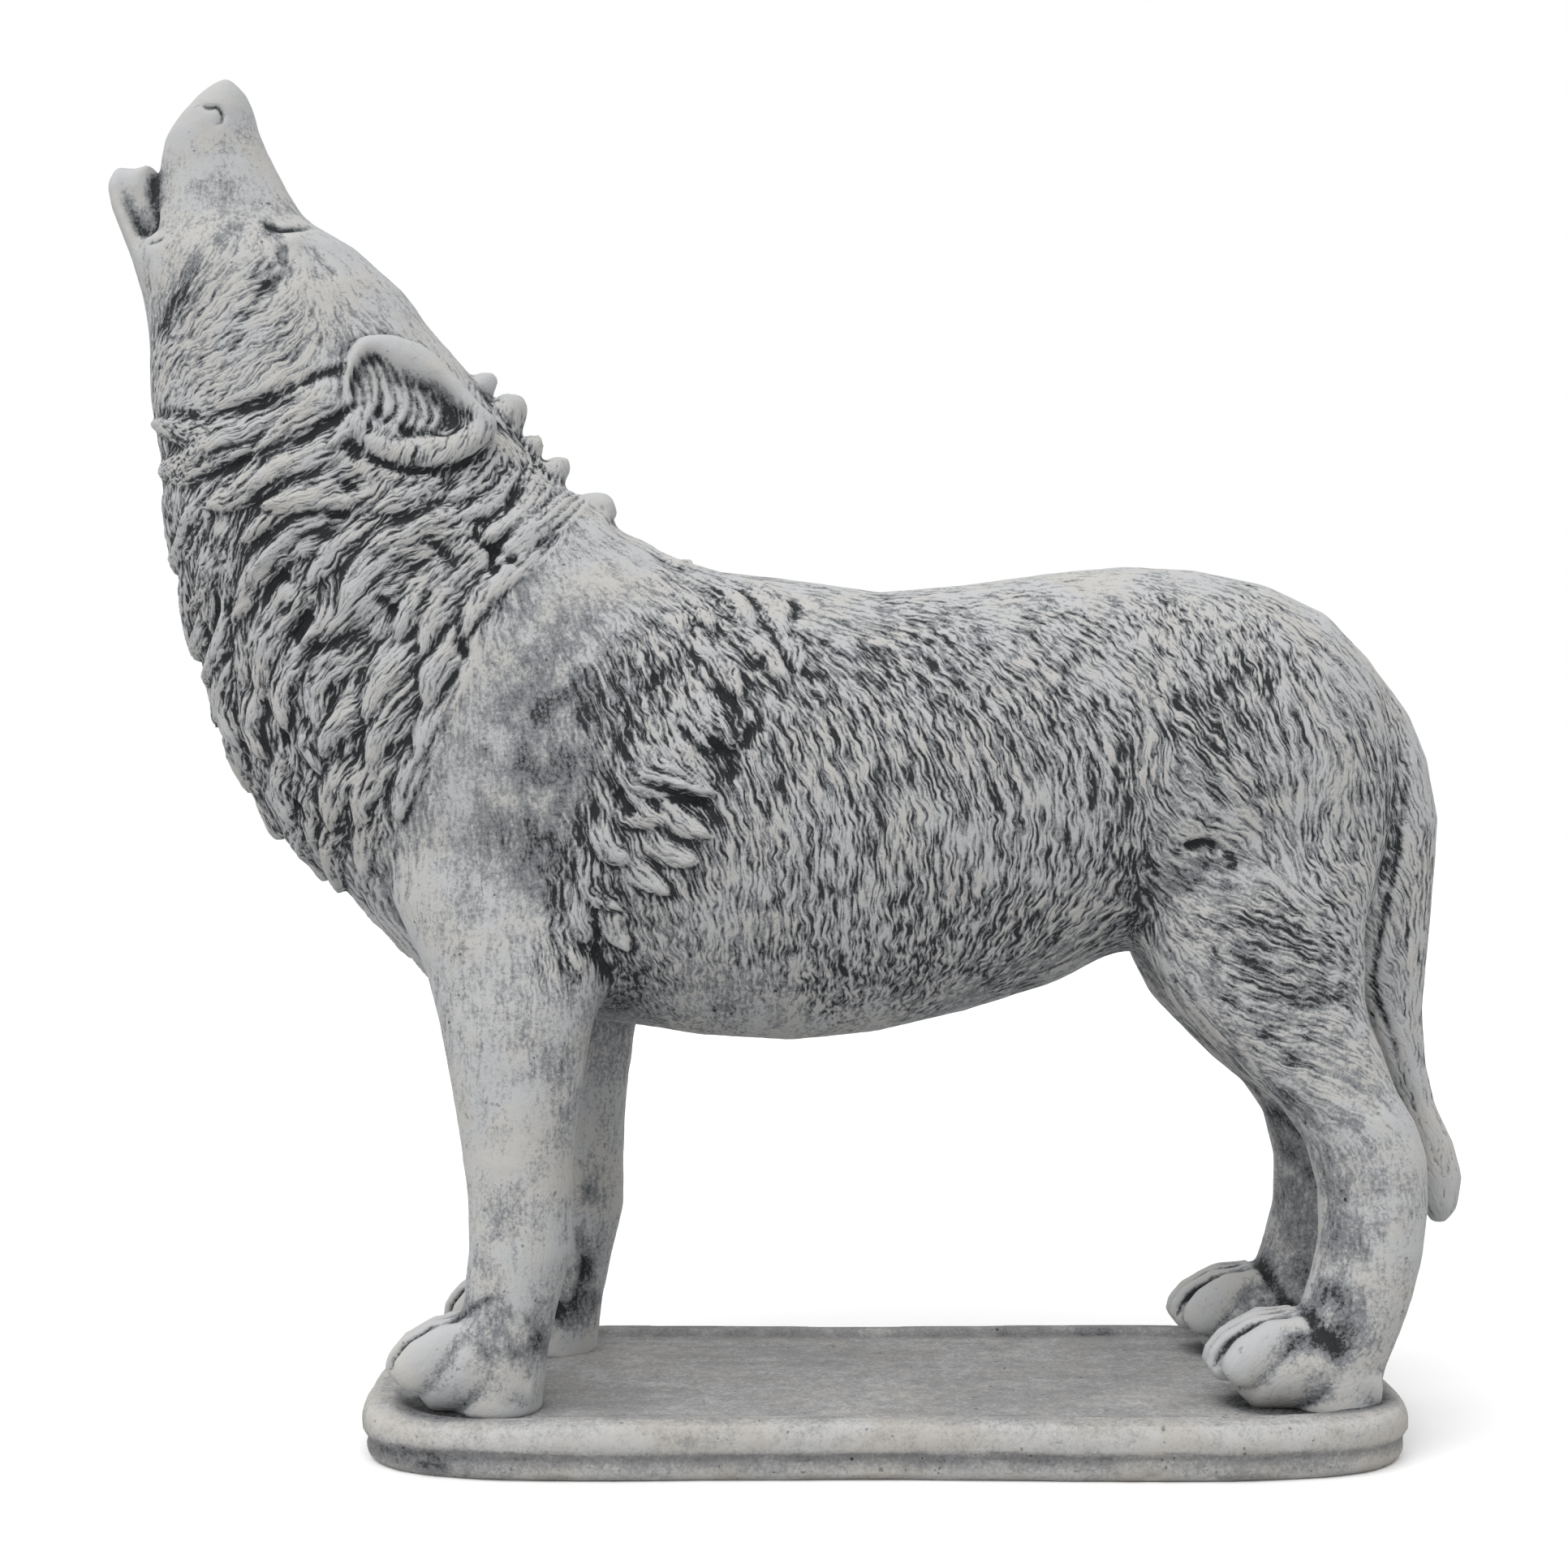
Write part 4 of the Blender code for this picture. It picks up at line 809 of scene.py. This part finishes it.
# relief of locks and hair, in mm
relief = {"fine": 0.24, "wide": 0.5, "mass": 1.5, "grain": 0.2, "lobe": 1.8}
inMane = averager.spread(np.clip(onLock, 0, 1), 30)
lump = cloudNoise(points, 0.0035, 21) * 0.6 + cloudNoise(points, 0.012, 22)
height = lockHigh + mane["base"] * smoothStep(0.3, 0.9, inMane)
height += relief["mass"] * inMane * np.tanh(massHair) * hair + mane["strandHigh"] * lockStrand
height += relief["lobe"] * inMane * cloudNoise(points, 0.034, 24)
height += relief["wide"] * (0.3 + 1.1 * inMane) * hair * np.tanh(wideHair * 0.9)
height += relief["fine"] * hair * np.tanh(fineHair) + relief["grain"] * lump * (1.3 - hair)
points = points + bareNormals * (height / 1000)[:, None]
points = averager.spread(points, 1, 0.35)
setPoints(skin, points)
skinTree = treeOf(skin)
print("relief")

strokes = [
    # places, depth and half width in mm
    # eye, brow, nostril
    (-367, 716, -359, 712, -350, 712, -338, 713, 2.4, 2.6), (-359, 698, -353, 694, -346, 694, 1.2, 2.4),
    (-358, 706, -356, 697, -354, 686, -362, 680, -372, 668, 2, 4), (-338, 704, -332, 694, -322, 680, 1.2, 5),
    (-406, 787, -400, 784, -394, 784, -391, 780, -391, 776, -395, 774, 2.2, 1.4),
    (-437, 706, -432, 709, -430, 715, -430, 724, 2.6, 2.2), (-435, 703, -431, 704, -426, 706, 1.2, 1.2),
    # under the cheek and round the ear
    (-430, 604, -416, 601, -402, 600, 1.6, 4), (-396, 600, -376, 606, -358, 614, -344, 621, 4.4, 4.6),
    (-350, 617, -334, 625, -318, 630, 3, 3), (-350, 581, -342, 588, -331, 596, -316, 605, -309, 608, 3.6, 3),
    (-320, 588, -313, 581, -308, 578, 3, 4),
    (-308, 578, -298, 573, -282, 568, -262, 568, -248, 572, -234, 582, 3, 1.9),
    (-300, 606, -295, 601, -291, 597, 3, 3), (-287, 597, -282, 592, -276, 592, 3, 2.8),
    (-270, 591, -259, 589, -249, 594, 1.4, 1.6),
    # pockets between the locks
    (-352, 510, -362, 502, -374, 490, 6, 4.5), (-340, 486, -346, 476, -352, 466, 6, 4.5),
    (-312, 541, -330, 543, -350, 541, 4, 2.6), (-320, 562, -312, 556, 3.5, 3), (-262, 524, -254, 514, 4, 4),
    (-300, 494, -286, 484, 3, 3), (-268, 497, -273, 489, 3, 2.5), (-231, 524, -227, 506, 4, 2.6),
    (-250, 470, -246, 457, 4, 3), (-355, 412, -352, 403, 4, 3), (-342, 422, -340, 408, 4, 3.4),
    (-348, 372, -343, 356, 4.5, 3.5), (-419, 508, -416, 496, 4, 3), (-396, 494, -394, 480, 3.5, 3),
    (-404, 478, -401, 466, 3.5, 3), (-350, 590, -370, 579, -392, 569, -412, 560, 3.5, 2.6),
    (-243, 532, -226, 520, -212, 512, 4, 3), (-214, 560, -222, 546, 4, 3),
    # pockets of the shoulder's locks
    (-80, 459, -74, 453, -68, 457, 3.5, 3), (-54, 493, -50, 486, -52, 479, 3, 3),
    (-104, 442, -92, 433, -80, 421, 3, 3.4), (-70, 420, -78, 412, -82, 400, 3, 3.2),
    (-99, 414, -94, 403, -88, 393, -88, 380, 4.5, 4.4), (-134, 381, -121, 376, -108, 372, -98, 364, 5, 4),
    (-135, 448, -135, 436, 3, 3), (-157, 379, -151, 371, -144, 362, 3.5, 4), (-120, 416, -113, 408, 3, 2.4),
    (-249, 470, -245, 455, 4, 3), (-176, 292, -166, 276, -160, 262, 4, 4),
    (-171, 326, -164, 317, -157, 310, 2.6, 3),
    # tail, flank, haunch hollow, toes
    (316, 405, 312, 367, 307, 330, 297, 284, 294, 262, 301, 240, 307, 223, 319, 188, 1.6, 2.2),
    (148, 408, 143, 392, 144, 378, 1.2, 5), (179, 342, 186, 345, 195, 346, 204, 342, 5, 2.8),
    (204, 342, 210, 336, 211, 328, 1.6, 3),
    # creases at the back of the near foreleg and by the paws
    (-182, 124, -176, 92, -184, 66, 1.2, 4), (-250, 62, -242, 70, -228, 76, 1, 3),
]


def carve(row, depth, width):
    # a groove that fades at its ends, steep at its upper edge and soft below
    ids = pointsNear(row.min(0) - width / 300, row.max(0) + width / 300)
    away, share, way, above = nearestOnLine(row, ids)
    widths = width * np.where(above > 0, 0.8, 1.45)
    fade = smoothStep(0, 0.22, share) * smoothStep(1, 0.78, share) * 0.75 + 0.25
    fade = fade * (1 + 0.35 * cloudNoise(points[ids], 0.006, 61))
    carved[ids] = np.maximum(carved[ids], depth * fade * np.exp(-(away * 1000 / widths) ** 2))


carved = np.zeros(len(points))
for *line, depth, width in strokes:
    row = np.array([seenAt(x, z)[0] for x, z in splineThrough(line, 20)])
    for side in (-1, 1):
        carve(row * mirrored(side), depth, width)
# grooves between the toes, from the front over the knuckles: way back and height in mm
toeGroove = {
    "path": ((0, 3), (2, 14), (8, 28), (17, 38), (28, 46), (38, 50)), "ahead": 6, "deep": 3.6, "wide": 2.2,
    "closer": 0.95, "closing": 0.06,
}
for side in (-1, 1):
    foreShift = wolf["farForepawBack"] if side > 0 else 0
    for tip, half, shift in ((wolf["forepawTip"], wolf["stance"] / 2, foreShift),
                             (wolf["hindpawTip"], wolf["hindStance"] / 2, 0)):
        for k in (-1, 0, 1):
            apart = k * (wolf["pawWide"] - wolf["toeWide"]) / (wolf["toes"] - 1)
            y = side * half + apart * toeGroove["closer"]
            row = [(tip[0] + shift - toeGroove["ahead"] + d, y - k * toeGroove["closing"] * d, z + slabHigh)
                   for d, z in toeGroove["path"]]
            carve(np.array(row, float) / 1000, toeGroove["deep"], toeGroove["wide"])
points = points - bareNormals * (carved / 1000)[:, None]
setPoints(skin, points)
normals = normalsOf(skin)
print("strokes carved")


def hollowness(rounds):
    # how far a point lies below the mean of its surroundings, in mm
    return ((averager.spread(points, rounds) - points) * normals).sum(1) * 1000


smallHollow, wideHollow, broadHollow = hollowness(3), hollowness(14), hollowness(60)
print("hollows", smallHollow.std(), wideHollow.std(), broadHollow.std())
patches, spots = patchNoise(points, 0.03, 31), patchNoise(points, 0.012, 41)

# soft smudges of wash: place in the picture, half length and half width in mm, lean in degrees, how dark
smudges = [
    (-407, 737, 9, 5, 25, .5), (-389, 740, 5, 9, 10, .45), (-385, 711, 7, 5, 0, .45),
    (-392, 703, 8, 5, 45, .6), (-404, 688, 8, 6, 30, .4), (-392, 687, 5, 6, 0, .35),
    (-397, 757, 8, 5, 10, .25), (-379, 757, 4, 12, 0, .3), (-362, 711, 7, 5, 0, .9),
    (-366, 684, 6, 15, -20, .8), (-372, 670, 11, 8, 20, .6), (-413, 680, 6, 16, -10, .35),
    (-421, 661, 7, 18, -28, .7), (-437, 735, 7, 14, 0, .35), (-431, 735, 4, 14, 0, 1.1),
    (-447, 712, 8, 8, 0, .25), (-183, 428, 8, 14, -20, .4), (-203, 423, 5, 6, 0, .4),
    (-180, 440, 40, 50, 0, .42), (-205, 370, 40, 64, 0, .38), (-30, 440, 90, 26, 18, .22),
    (60, 440, 90, 26, 0, .16), (-320, 540, 90, 60, 0, .12), (-222, 116, 10, 22, -8, .55),
    (-181, 110, 7, 30, 0, .5), (-172, 130, 8, 20, 0, .4), (-236, 92, 16, 9, 20, .4),
    (-188, 60, 14, 24, 0, .6), (-214, 47, 26, 8, -5, .8), (-240, 72, 14, 9, 30, .5),
    (-190, 210, 18, 30, 0, .15), (270, 62, 16, 28, 0, .6), (258, 48, 26, 8, -5, .8),
    (246, 78, 14, 12, 30, .5), (262, 180, 26, 60, 25, .5), (236, 250, 44, 40, 0, .46),
    (200, 300, 44, 40, 0, .34), (192, 425, 22, 34, -12, .5), (150, 330, 16, 40, 10, .35),
    (275, 110, 26, 40, 0, .2), (262, 150, 40, 60, 0, .22), (-215, 60, 34, 20, 0, .3),
    (250, 55, 34, 20, 0, .25), (40, 285, 110, 30, 0, .2), (192, 338, 14, 6, 0, .5),
    (-150, 262, 20, 26, 0, .35), (40, 262, 90, 14, -8, .25),
]


def smudgeAt(x, z):
    total = np.zeros(len(x))
    for middleX, middleZ, long, wide, lean, dark in smudges:
        c, s = math.cos(math.radians(lean)), math.sin(math.radians(lean))
        dx, dz = x - middleX, z - middleZ
        total += dark * np.exp(-((dx * c + dz * s) / long) ** 2 - ((dz * c - dx * s) / wide) ** 2)
    return total


places = points * 1000
smudge = smudgeAt(*inPicture(places, 1 - np.abs(places[:, 1]) / (shot["away"] * 1000)))
smudge *= smoothStep(-0.15, 0.5, np.abs(normals[:, 1])) * (1 + 0.6 * spots)
# darkness of each point: the stone's soot and wash, with painted shade in its hollows and painted light on
# faces turned up
washAndShadeOf = {
    "start": -0.26, "soot": 0.85, "patch": 0.16, "small": 0.95, "wide": 0.5, "broad": 0.24, "fine": -0.1,
    "top": -0.14, "carved": 0.09, "strand": -0.14, "spots": 0.2, "full": 0.9, "pastFull": 0.6,
}
washAndShade = washAndShadeOf["start"] + washAndShadeOf["soot"] * soot + washAndShadeOf["patch"] * patches * (0.4 + soot) + smudge
# the hollow terms darken the hollows and grooves: partly the stone's own dark wash, partly painted shade
washAndShade += washAndShadeOf["small"] * np.clip(smallHollow, -0.2, 0.5) + washAndShadeOf["wide"] * np.clip(wideHollow, -0.7, 1.8)
washAndShade += washAndShadeOf["broad"] * np.clip(broadHollow, -2, 4) + washAndShadeOf["fine"] * hair * np.tanh(fineHair * 1.1)
# painted light from above: faces turned up are made paler and faces turned down darker
washAndShade += washAndShadeOf["spots"] * spots * (1 - 0.5 * hair) + washAndShadeOf["top"] * np.clip(normals[:, 2], -0.5, 1)
washAndShade += washAndShadeOf["carved"] * np.clip(carved, 0, 4) + washAndShadeOf["strand"] * lockStrand
washAndShade = np.where(washAndShade > washAndShadeOf["full"], washAndShadeOf["full"] + (washAndShade - washAndShadeOf["full"]) * washAndShadeOf["pastFull"], washAndShade)


def setAttribute(thing, name, values):
    made = thing.data.attributes.new(name, "FLOAT", "POINT")
    made.data.foreach_set("value", np.asarray(values, np.float32))


# how far the hair runs along each of a few fixed directions, for the painted hairs of the stone
hairAngles = 8


def setHairAngles(thing, ways, strength):
    heading = np.degrees(np.arctan2(ways[:, 2], ways[:, 0]))
    weights = []
    for k in range(hairAngles):
        off = np.abs((heading - k * 180 / hairAngles + 90) % 180 - 90)
        weights.append(np.clip(1 - off / (180 / hairAngles), 0, 1))
    weights = np.array(weights)
    weights *= strength / np.sqrt((weights ** 2).sum(0))
    for k in range(hairAngles):
        setAttribute(thing, "hair" + str(k), weights[k])


setAttribute(skin, "washAndShade", washAndShade)
setHairAngles(skin, comb, 0.1 + 0.95 * np.clip(hair, 0, 1) ** 1.4)
print("washAndShade")


class Value:
    # a shader socket that can be used in sums
    def __init__(self, tree, socket):
        self.tree, self.socket = tree, socket

    def join(self, operation, other, swap=False):
        first, second = (other, self) if swap else (self, other)
        return self.tree.add("ShaderNodeMath", {"operation": operation}, {0: first, 1: second})

    def __add__(self, other): return self.join("ADD", other)
    def __radd__(self, other): return self.join("ADD", other, True)
    def __sub__(self, other): return self.join("SUBTRACT", other)
    def __rsub__(self, other): return self.join("SUBTRACT", other, True)
    def __mul__(self, other): return self.join("MULTIPLY", other)
    def __rmul__(self, other): return self.join("MULTIPLY", other, True)


class Shader:
    # the nodes of a material or of the world
    def __init__(self, owner, main="Principled BSDF"):
        self.owner = owner
        owner.use_nodes = True
        self.nodes, self.links = owner.node_tree.nodes, owner.node_tree.links
        self.main = self.nodes[main]

    def add(self, kind, settings=None, sockets=None, out=0):
        node = self.nodes.new(kind)
        for key, value in (settings or {}).items():
            setattr(node, key, value)
        self.fill(node, sockets or {})
        return Value(self, node.outputs[out])

    def fill(self, node, sockets):
        for key, value in sockets.items():
            if isinstance(value, Value):
                self.links.new(value.socket, node.inputs[key])
            else:
                node.inputs[key].default_value = value

    def attribute(self, name):
        return self.add("ShaderNodeAttribute", {"attribute_name": name}, out="Fac")

    def noise(self, scale, detail, place, rough=0.5):
        sockets = {"Vector": place, "Scale": scale, "Detail": detail, "Roughness": rough}
        return self.add("ShaderNodeTexNoise", {}, sockets, "Fac")

    def step(self, value, low, high):
        return self.add("ShaderNodeMapRange", {"interpolation_type": "SMOOTHSTEP"},
                        {"Value": value, "From Min": low, "From Max": high}, "Result")

    def blend(self, share, first, second):
        return self.add("ShaderNodeMix", {"data_type": "RGBA"}, {"Factor": share, 6: first, 7: second}, 2)

    def seenRay(self):
        # 1 for what the camera sees, straight or in a mirror or through glass
        camera, glossy, through = (self.add("ShaderNodeLightPath", out=kind) for kind in
                                   ("Is Camera Ray", "Is Glossy Ray", "Is Transmission Ray"))
        return camera.join("MAXIMUM", glossy).join("MAXIMUM", through)


wolfLook = {
    "pale": (0.45, 0.456, 0.462, 1), "warm": (0.465, 0.457, 0.44, 1), "grey": (0.196, 0.204, 0.214, 1),
    "ink": (0.014, 0.015, 0.017, 1), "hairWide": 560, "hairLong": 42, "hairDark": 6, "hairHigh": 4,
    "hairWave": 0.007, "bump": 0.7, "grain": 1.2, "speck": 1.6, "soft": 0.6,
}
slabLook = {
    "pale": (0.47, 0.465, 0.455, 1), "warm": (0.44, 0.42, 0.39, 1), "grey": (0.21, 0.212, 0.217, 1),
    "ink": (0.02, 0.021, 0.023, 1), "hairDark": 0, "bump": 0.5, "grain": 0.9, "speck": 1.0, "soft": 0.7,
}


def paintedHairs(made, place, look):
    # fine strokes along the hair: a stretched noise for each fixed direction, shared out by the hair's own
    apart = made.add("ShaderNodeSeparateXYZ", {}, {"Vector": place}, "X")
    x, y, z = (Value(made, apart.socket.node.outputs[axis]) for axis in "XYZ")
    wave = (made.noise(95, 1, place) - 0.5) * look["hairWave"]
    total = None
    for k in range(hairAngles):
        c, s = math.cos(math.pi * k / hairAngles), math.sin(math.pi * k / hairAngles)
        along, across = x * c + z * s, z * c - x * s + wave
        sockets = {"X": along * look["hairLong"], "Y": across * look["hairWide"],
                   "Z": y * (look["hairWide"] / 2)}
        stretched = made.add("ShaderNodeCombineXYZ", {}, sockets, "Vector")
        stroke = (made.noise(1, 1, stretched, 0.5) - 0.5) * made.attribute("hair" + str(k))
        total = total + stroke if total else stroke
    return total


def stoneShader(name, look):
    made = Shader(bpy.data.materials.new(name))
    place = made.add("ShaderNodeTexCoord", out="Object")
    grain = made.noise(900, 3, place, 0.6)
    speck = made.noise(420, 2, place, 0.6)
    cloud = made.noise(28, 3, place, 0.55)
    soft = made.noise(110, 3, place, 0.6)
    pits = made.step(made.noise(230, 1, place, 0.5), 0.73, 0.8)
    washAndShade = made.attribute("washAndShade")
    # the darkness that picks the grey and ink: the stone's wash, grain and specks, with the painted shade and
    # light held in the attribute
    dirtAndShade = washAndShade + (grain - 0.5) * look["grain"] + (speck - 0.5) * look["speck"] + (soft - 0.5) * look["soft"]
    dirtAndShade = dirtAndShade + pits * 0.7
    height = grain * 0.5 + speck * 0.5 - pits * 1.5
    if look["hairDark"]:
        hairs = paintedHairs(made, place, look)
        dirtAndShade = dirtAndShade - hairs * look["hairDark"]
        height = height + hairs * look["hairHigh"]
    # the grey and ink shares carry the stone's wash and also the painted shade
    greyShare = made.step(dirtAndShade, -0.45, 0.55)
    inkShare = made.step(dirtAndShade, 0.4, 1.3)
    pale = made.blend(made.step(cloud, 0.4, 0.62), look["pale"], look["warm"])
    colour = made.blend(greyShare, pale, look["grey"])
    colour = made.blend(inkShare, colour, look["ink"])
    sockets = {"Strength": look["bump"], "Distance": 0.0006, "Height": height}
    bump = made.add("ShaderNodeBump", {}, sockets, "Normal")
    rough = made.step(dirtAndShade, -0.4, 1.2) * -0.12 + 0.86
    made.fill(made.main, {"Base Color": colour, "Roughness": rough, "Normal": bump,
                          "Specular IOR Level": 0.3})
    return made.owner


wolfStone = stoneShader("castStone", wolfLook)
slabStone = stoneShader("slabStone", slabLook)

# the wolf is cut into closed sections that keep the whole skin's shading
sectionCuts = [
    # a point of the cutting plane and its normal; each cut takes a piece off what is left
    ("head", (-0.33, 0, 0.56), (-0.62, 0, 0.78)),
    ("mane", (-0.25, 0, 0.42), (-0.8, 0, 0.6)),
    ("shoulder", (-0.1, 0, 0.35), (-1, 0, 0.15)),
    ("flank", (0.13, 0, 0.35), (-1, 0, 0.05)),
    ("haunch", (0.2, 0, 0.3), (0.1, 0, 1)),
]


def cutOff(thing, name, spot, way):
    # the side that the normal points to becomes a new piece; both are closed with a flat face
    taken = copyOf(thing, name)
    for piece, clear in ((taken, "inner"), (thing, "outer")):
        onlySelect(piece)
        bpy.ops.object.mode_set(mode="EDIT")
        bpy.ops.mesh.select_all(action="SELECT")
        bpy.ops.mesh.bisect(plane_co=spot, plane_no=way, use_fill=True, clear_inner=clear == "inner",
                            clear_outer=clear == "outer")
        bpy.ops.object.mode_set(mode="OBJECT")
    return taken


def finishPiece(piece):
    # near a cut, the normals come from the whole skin, so that no line shows
    mesh = piece.data
    mesh.materials.clear()
    mesh.materials.append(wolfStone)
    onlySelect(piece)
    bpy.ops.object.shade_smooth()
    places, ways = pointsOf(piece), normalsOf(piece)
    nearCut = np.zeros(len(places), bool)
    for name, spot, way in sectionCuts:
        nearCut |= np.abs((places - spot) @ unit(np.array(way, float))) < 0.004
    for index in np.nonzero(nearCut)[0]:
        ways[index] = wholeNormals[wholeTree.find(places[index])[1]]
    mesh.normals_split_custom_set_from_vertices(ways.tolist())
    sizes = np.empty(len(mesh.polygons), np.int32)
    mesh.polygons.foreach_get("loop_total", sizes)
    print(piece.name, "triangles", int((sizes - 2).sum()))


wholeNormals = normalsOf(skin)
wholeTree = KDTree(len(points))
for index, place in enumerate(points):
    wholeTree.insert(place, index)
wholeTree.balance()
sections = []
rest = skin
for name, spot, way in sectionCuts:
    sections.append(cutOff(rest, name, spot, unit(np.array(way, float)).tolist()))
rest.name = "rump"
sections.append(rest)
for piece in sections:
    finishPiece(piece)

slab = {
    "front": -0.296, "back": 0.296, "halfDeep": 0.130, "high": 0.033, "power": 5, "lip": 0.008, "step": 0.003,
    "rim": 0.009, "slope": 0.006, "dish": 0.0035, "voxel": 0.0022, "waist": 0.007, "sag": 0.005,
    "sides": 96, "seam": 0.0158, "seamWide": 0.0009,
}
slabRelief = {"lump": 0.9, "smallLump": 0.45, "streak": 0.25, "swell": 0.35, "trowel": 0.7, "chips": -2.2}
slabWashAndShade = {
    "start": -0.05, "patch": 0.14, "seam": 0.75, "low": 0.16, "hollow": 0.45, "top": 0.22, "streak": 0.16,
    "trowel": 0.4, "dirtyEnd": 0.6, "crust": 0.6, "chips": -1.1, "paws": 0.9, "backEdge": 0.3,
}
# where the paws stand: middle x and y, half length
pawSpots = [(-0.236, -0.074, 0.036), (-0.223, 0.074, 0.036), (0.24, -0.068, 0.042), (0.24, 0.068, 0.042)]


def makeSlab():
    levels = [
        (-0.003, 0), (0, 0.004), (0, 0.015), (slab["step"], 0.0165),
        (slab["step"], slab["high"] - slab["lip"]), (0.0006, slab["high"] - 0.0024),
        (-0.005, slab["high"]), (-0.005 - slab["rim"], slab["high"]),
        (-0.005 - slab["rim"] - slab["slope"], slab["high"] - slab["dish"]),
    ]
    count = slab["sides"]
    turn = np.arange(count) * 2 * math.pi / count
    c, s = np.cos(turn), np.sin(turn)
    x = np.sign(c) * np.abs(c) ** (2 / slab["power"])
    y = np.sign(s) * np.abs(s) ** (2 / slab["power"])
    middle, halfLong = (slab["front"] + slab["back"]) / 2, (slab["back"] - slab["front"]) / 2
    grid = np.zeros((len(levels), count, 3))
    for r, (out, z) in enumerate(levels):
        grid[r, :, 0] = middle + x * (halfLong + out)
        # the sides are hollowed a little between the paws, and the near left corner sags
        waist = slab["waist"] * np.exp(-((grid[r, :, 0] + 0.02) / 0.14) ** 2)
        grid[r, :, 1] = y * (slab["halfDeep"] + out - waist)
        sag = slab["sag"] * smoothStep(-0.15, -0.28, grid[r, :, 0]) * smoothStep(-0.06, -0.13, grid[r, :, 1])
        grid[r, :, 2] = z - sag * (z > 0.02)
    made = formFrom("slab", grid)
    addModifier(made, "REMESH", mode="VOXEL", voxel_size=slab["voxel"])
    addModifier(made, "SMOOTH", factor=0.5, iterations=2)
    places, ways = pointsOf(made), normalsOf(made)
    side = 1 - np.abs(ways[:, 2])
    flat = 1 - side
    lump = patchNoise(places * (1, 1, 0.3), 0.05, 51) * slabRelief["lump"]
    lump += patchNoise(places, 0.012, 52) * slabRelief["smallLump"]
    streak = cloudNoise(places * (0.12, 1, 1), 0.004, 53)
    swell = slabRelief["streak"] * streak + slabRelief["swell"] * patchNoise(places, 0.07, 54)
    low = smoothStep(0.018, 0.013, places[:, 2]) * side
    # trowel lines along the lower band, and chips knocked out of the bottom edge
    trowel = cloudNoise(places * (0.1, 0.1, 1), 0.0035, 57) * low
    chips = smoothStep(0.55, 0.9, patchNoise(places * (1, 1, 0.6), 0.016, 58))
    chips *= smoothStep(0.008, 0.003, places[:, 2])
    shift = side * lump + flat * swell * (places[:, 2] > 0.01)
    shift += slabRelief["trowel"] * trowel + slabRelief["chips"] * chips * (side > 0.4)
    places = places + ways * (shift / 1000)[:, None]
    places[:, 2] = np.clip(places[:, 2], 0, slab["high"])
    setPoints(made, places)
    averaged = Averager(edgesOf(made), len(places))
    # the slab is darkened in its hollows, as under the lip: partly its own wash, partly painted shade
    hollow = ((averaged.spread(places, 10) - places) * normalsOf(made)).sum(1) * 1000
    # a seam that wanders and breaks, a stained front end and patches of crust
    wander = slab["seam"] + 0.0012 * patchNoise(places * (1, 1, 0), 0.05, 55)
    seam = np.exp(-((places[:, 2] - wander) / slab["seamWide"]) ** 2) * side
    stains = {
        "patch": patchNoise(places * (1, 1, 2), 0.05, 56),
        "seam": seam * smoothStep(-0.6, 0.4, patchNoise(places, 0.02, 59)),
        "low": low, "hollow": hollow, "top": flat, "streak": flat * streak, "trowel": trowel,
        "dirtyEnd": smoothStep(-0.16, -0.28, places[:, 0]) * side * smoothStep(0.034, 0.012, places[:, 2]),
        "crust": smoothStep(0.3, 0.9, patchNoise(places * (0.4, 1, 1.5), 0.02, 60)) * low, "chips": chips,
        "backEdge": smoothStep(0.09, 0.118, places[:, 1]) * flat * (1 + patchNoise(places, 0.015, 62)),
    }
    washAndShade = slabWashAndShade["start"] + sum(slabWashAndShade[key] * stain for key, stain in stains.items())
    for middleX, middleY, half in pawSpots:
        away = np.hypot((places[:, 0] - middleX) / half, (places[:, 1] - middleY) / 0.032)
        washAndShade += slabWashAndShade["paws"] * smoothStep(1.3, 0.95, away) * flat
    setAttribute(made, "washAndShade", washAndShade)
    made.data.materials.append(slabStone)
    onlySelect(made)
    bpy.ops.object.shade_smooth()
    return made


slabPiece = makeSlab()
print("slab", len(slabPiece.data.polygons) * 2)

for thing in list(bpy.data.objects):
    if thing.type == "MESH" and thing not in sections + [slabPiece] and thing.name not in frame["nodes"]:
        bpy.data.objects.remove(thing)
for piece in sections + [slabPiece]:
    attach(piece, "root")
    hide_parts("howling_wolf")

# floor and light: the floor is white to the eye but throws less light up on the wolf
studio = {
    "floor": (1, 1, 1, 1), "floorBounce": (0.5, 0.5, 0.5, 1), "floorSize": 30, "sky": 0.8, "key": 1.9,
    "keyTurn": (32, -14, -8), "keyAngle": 60,
}
bpy.ops.object.select_all(action="DESELECT")
bpy.ops.mesh.primitive_plane_add(size=studio["floorSize"], location=(0, 0, 0))
floor = bpy.context.object
floor.name = "floor"
floorShader = Shader(bpy.data.materials.new("floorWhite"))
floorColour = floorShader.blend(floorShader.seenRay(), studio["floorBounce"], studio["floor"])
floorShader.fill(floorShader.main, {"Base Color": floorColour, "Roughness": 1.0})
floor.data.materials.append(floorShader.owner)

sky = Shader(bpy.data.worlds.new("studio"), "Background")
bpy.context.scene.world = sky.owner
strength = sky.seenRay() * (1 - studio["sky"]) + studio["sky"]
sky.fill(sky.main, {"Color": (1, 1, 1, 1), "Strength": strength})

bpy.ops.object.light_add(type="SUN", rotation=[math.radians(turn) for turn in studio["keyTurn"]])
sun = bpy.context.object
sun.data.energy = studio["key"]
sun.data.angle = math.radians(studio["keyAngle"])
bpy.context.scene.view_settings.view_transform = "Standard"
